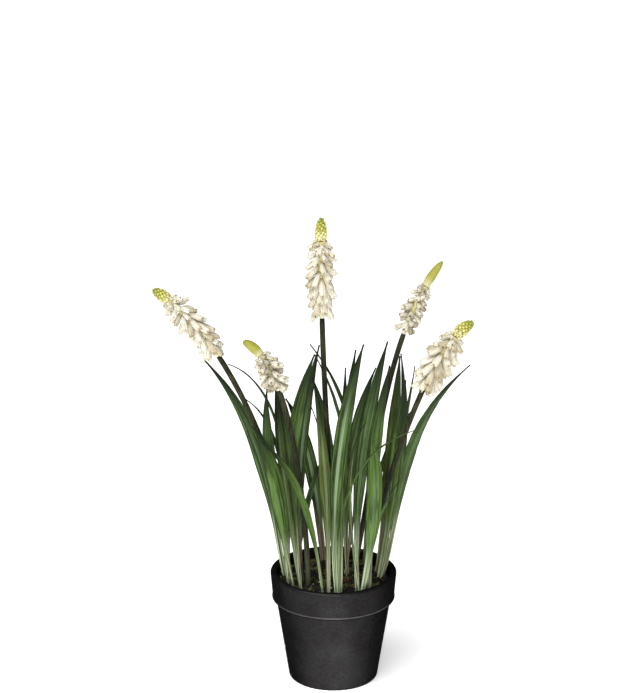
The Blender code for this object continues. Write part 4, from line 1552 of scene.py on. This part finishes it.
# %% The studio
WHITE = (1, 1, 1, 1)
FLOOR_HALF = 30.0
FLOOR_GLOW = 0.35
WORLD_STRENGTH = 0.3
Lamp = namedtuple("Lamp", "name kind place target energy settings")
LAMPS = (
    Lamp("key_sun", "SUN", (-0.6, -0.9, 2.0), (0, 0, 0.15), 3.0, {"angle": math.radians(50)}),
    Lamp("front_box", "AREA", (0.0, -1.3, 0.3), (0, 0, 0.06), 8.0, {"size": 0.3}),
    Lamp("floor_spot", "SPOT", (0, -0.6, 0.5), (0, -0.1, 0), 40.0, {
        "spot_size": math.radians(10), "spot_blend": 0.6,
    }),
)


def stage_finish():
    finish = Finish("studio_white", Roughness=0.9, Specular_IOR_Level=0.1)
    finish.put(Emission_Strength=FLOOR_GLOW, Emission_Color=WHITE)
    clouds = finish.noise(finish.place, 3.0, 2.0)
    finish.put(Base_Color=finish.mix(clouds, (0.93, 0.93, 0.93, 1), (0.95, 0.95, 0.95, 1)))
    return finish.material


def make_floor():
    corners = [(x * FLOOR_HALF, y * FLOOR_HALF, 0) for x, y in ((-1, -1), (1, -1), (1, 1), (-1, 1))]
    mesh = new_mesh("studio_floor", corners, faces=[(0, 1, 2, 3)])
    mesh.materials.append(stage_finish())
    new_object("studio_floor", mesh)


def make_world():
    world = bpy.data.worlds.new("white_studio")
    world.use_nodes = True
    background = world.node_tree.nodes["Background"].inputs
    background["Color"].default_value = WHITE
    background["Strength"].default_value = WORLD_STRENGTH
    bpy.context.scene.world = world


def add_lamp(lamp):
    data = bpy.data.lights.new(lamp.name, lamp.kind)
    data.energy = lamp.energy
    for key, value in lamp.settings.items():
        setattr(data, key, value)
    obj = new_object(lamp.name, data)
    obj.location = lamp.place
    obj.rotation_euler = (Vector(lamp.target) - Vector(lamp.place)).to_track_quat("-Z", "Y").to_euler()


make_floor()
make_world()
for lamp in LAMPS:
    add_lamp(lamp)
bpy.context.scene.view_settings.view_transform = "Standard"
print("lamps:", [lamp.name for lamp in LAMPS])

# %% [markdown]
# ## The camera
# The photograph was taken from the front, from about a metre and a half away, looking down by some 18
# degrees. Those values were worked out from the pot's rim and base, which are known circles.

# %% The camera
PHOTO_WIDTH = 630
PHOTO_HEIGHT = 693
FOCAL_PIXELS = 2450.0
LOOK_DOWN = 17.72
CAMERA_PLACE = Vector((-11.7, -1433.6, 677.4)) * MM
SENSOR_WIDTH = 36.0
FARTHEST_SEEN = 50.0


def make_camera():
    data = bpy.data.cameras.new("photo_camera")
    data.sensor_width = SENSOR_WIDTH
    data.lens = FOCAL_PIXELS * data.sensor_width / max(PHOTO_WIDTH, PHOTO_HEIGHT)
    data.clip_end = FARTHEST_SEEN
    camera = new_object("photo_camera", data)
    camera.location = CAMERA_PLACE
    camera.rotation_euler = (math.radians(90 - LOOK_DOWN), 0, 0)
    bpy.context.scene.camera = camera
    print("lens, mm:", round(data.lens, 1))


make_camera()
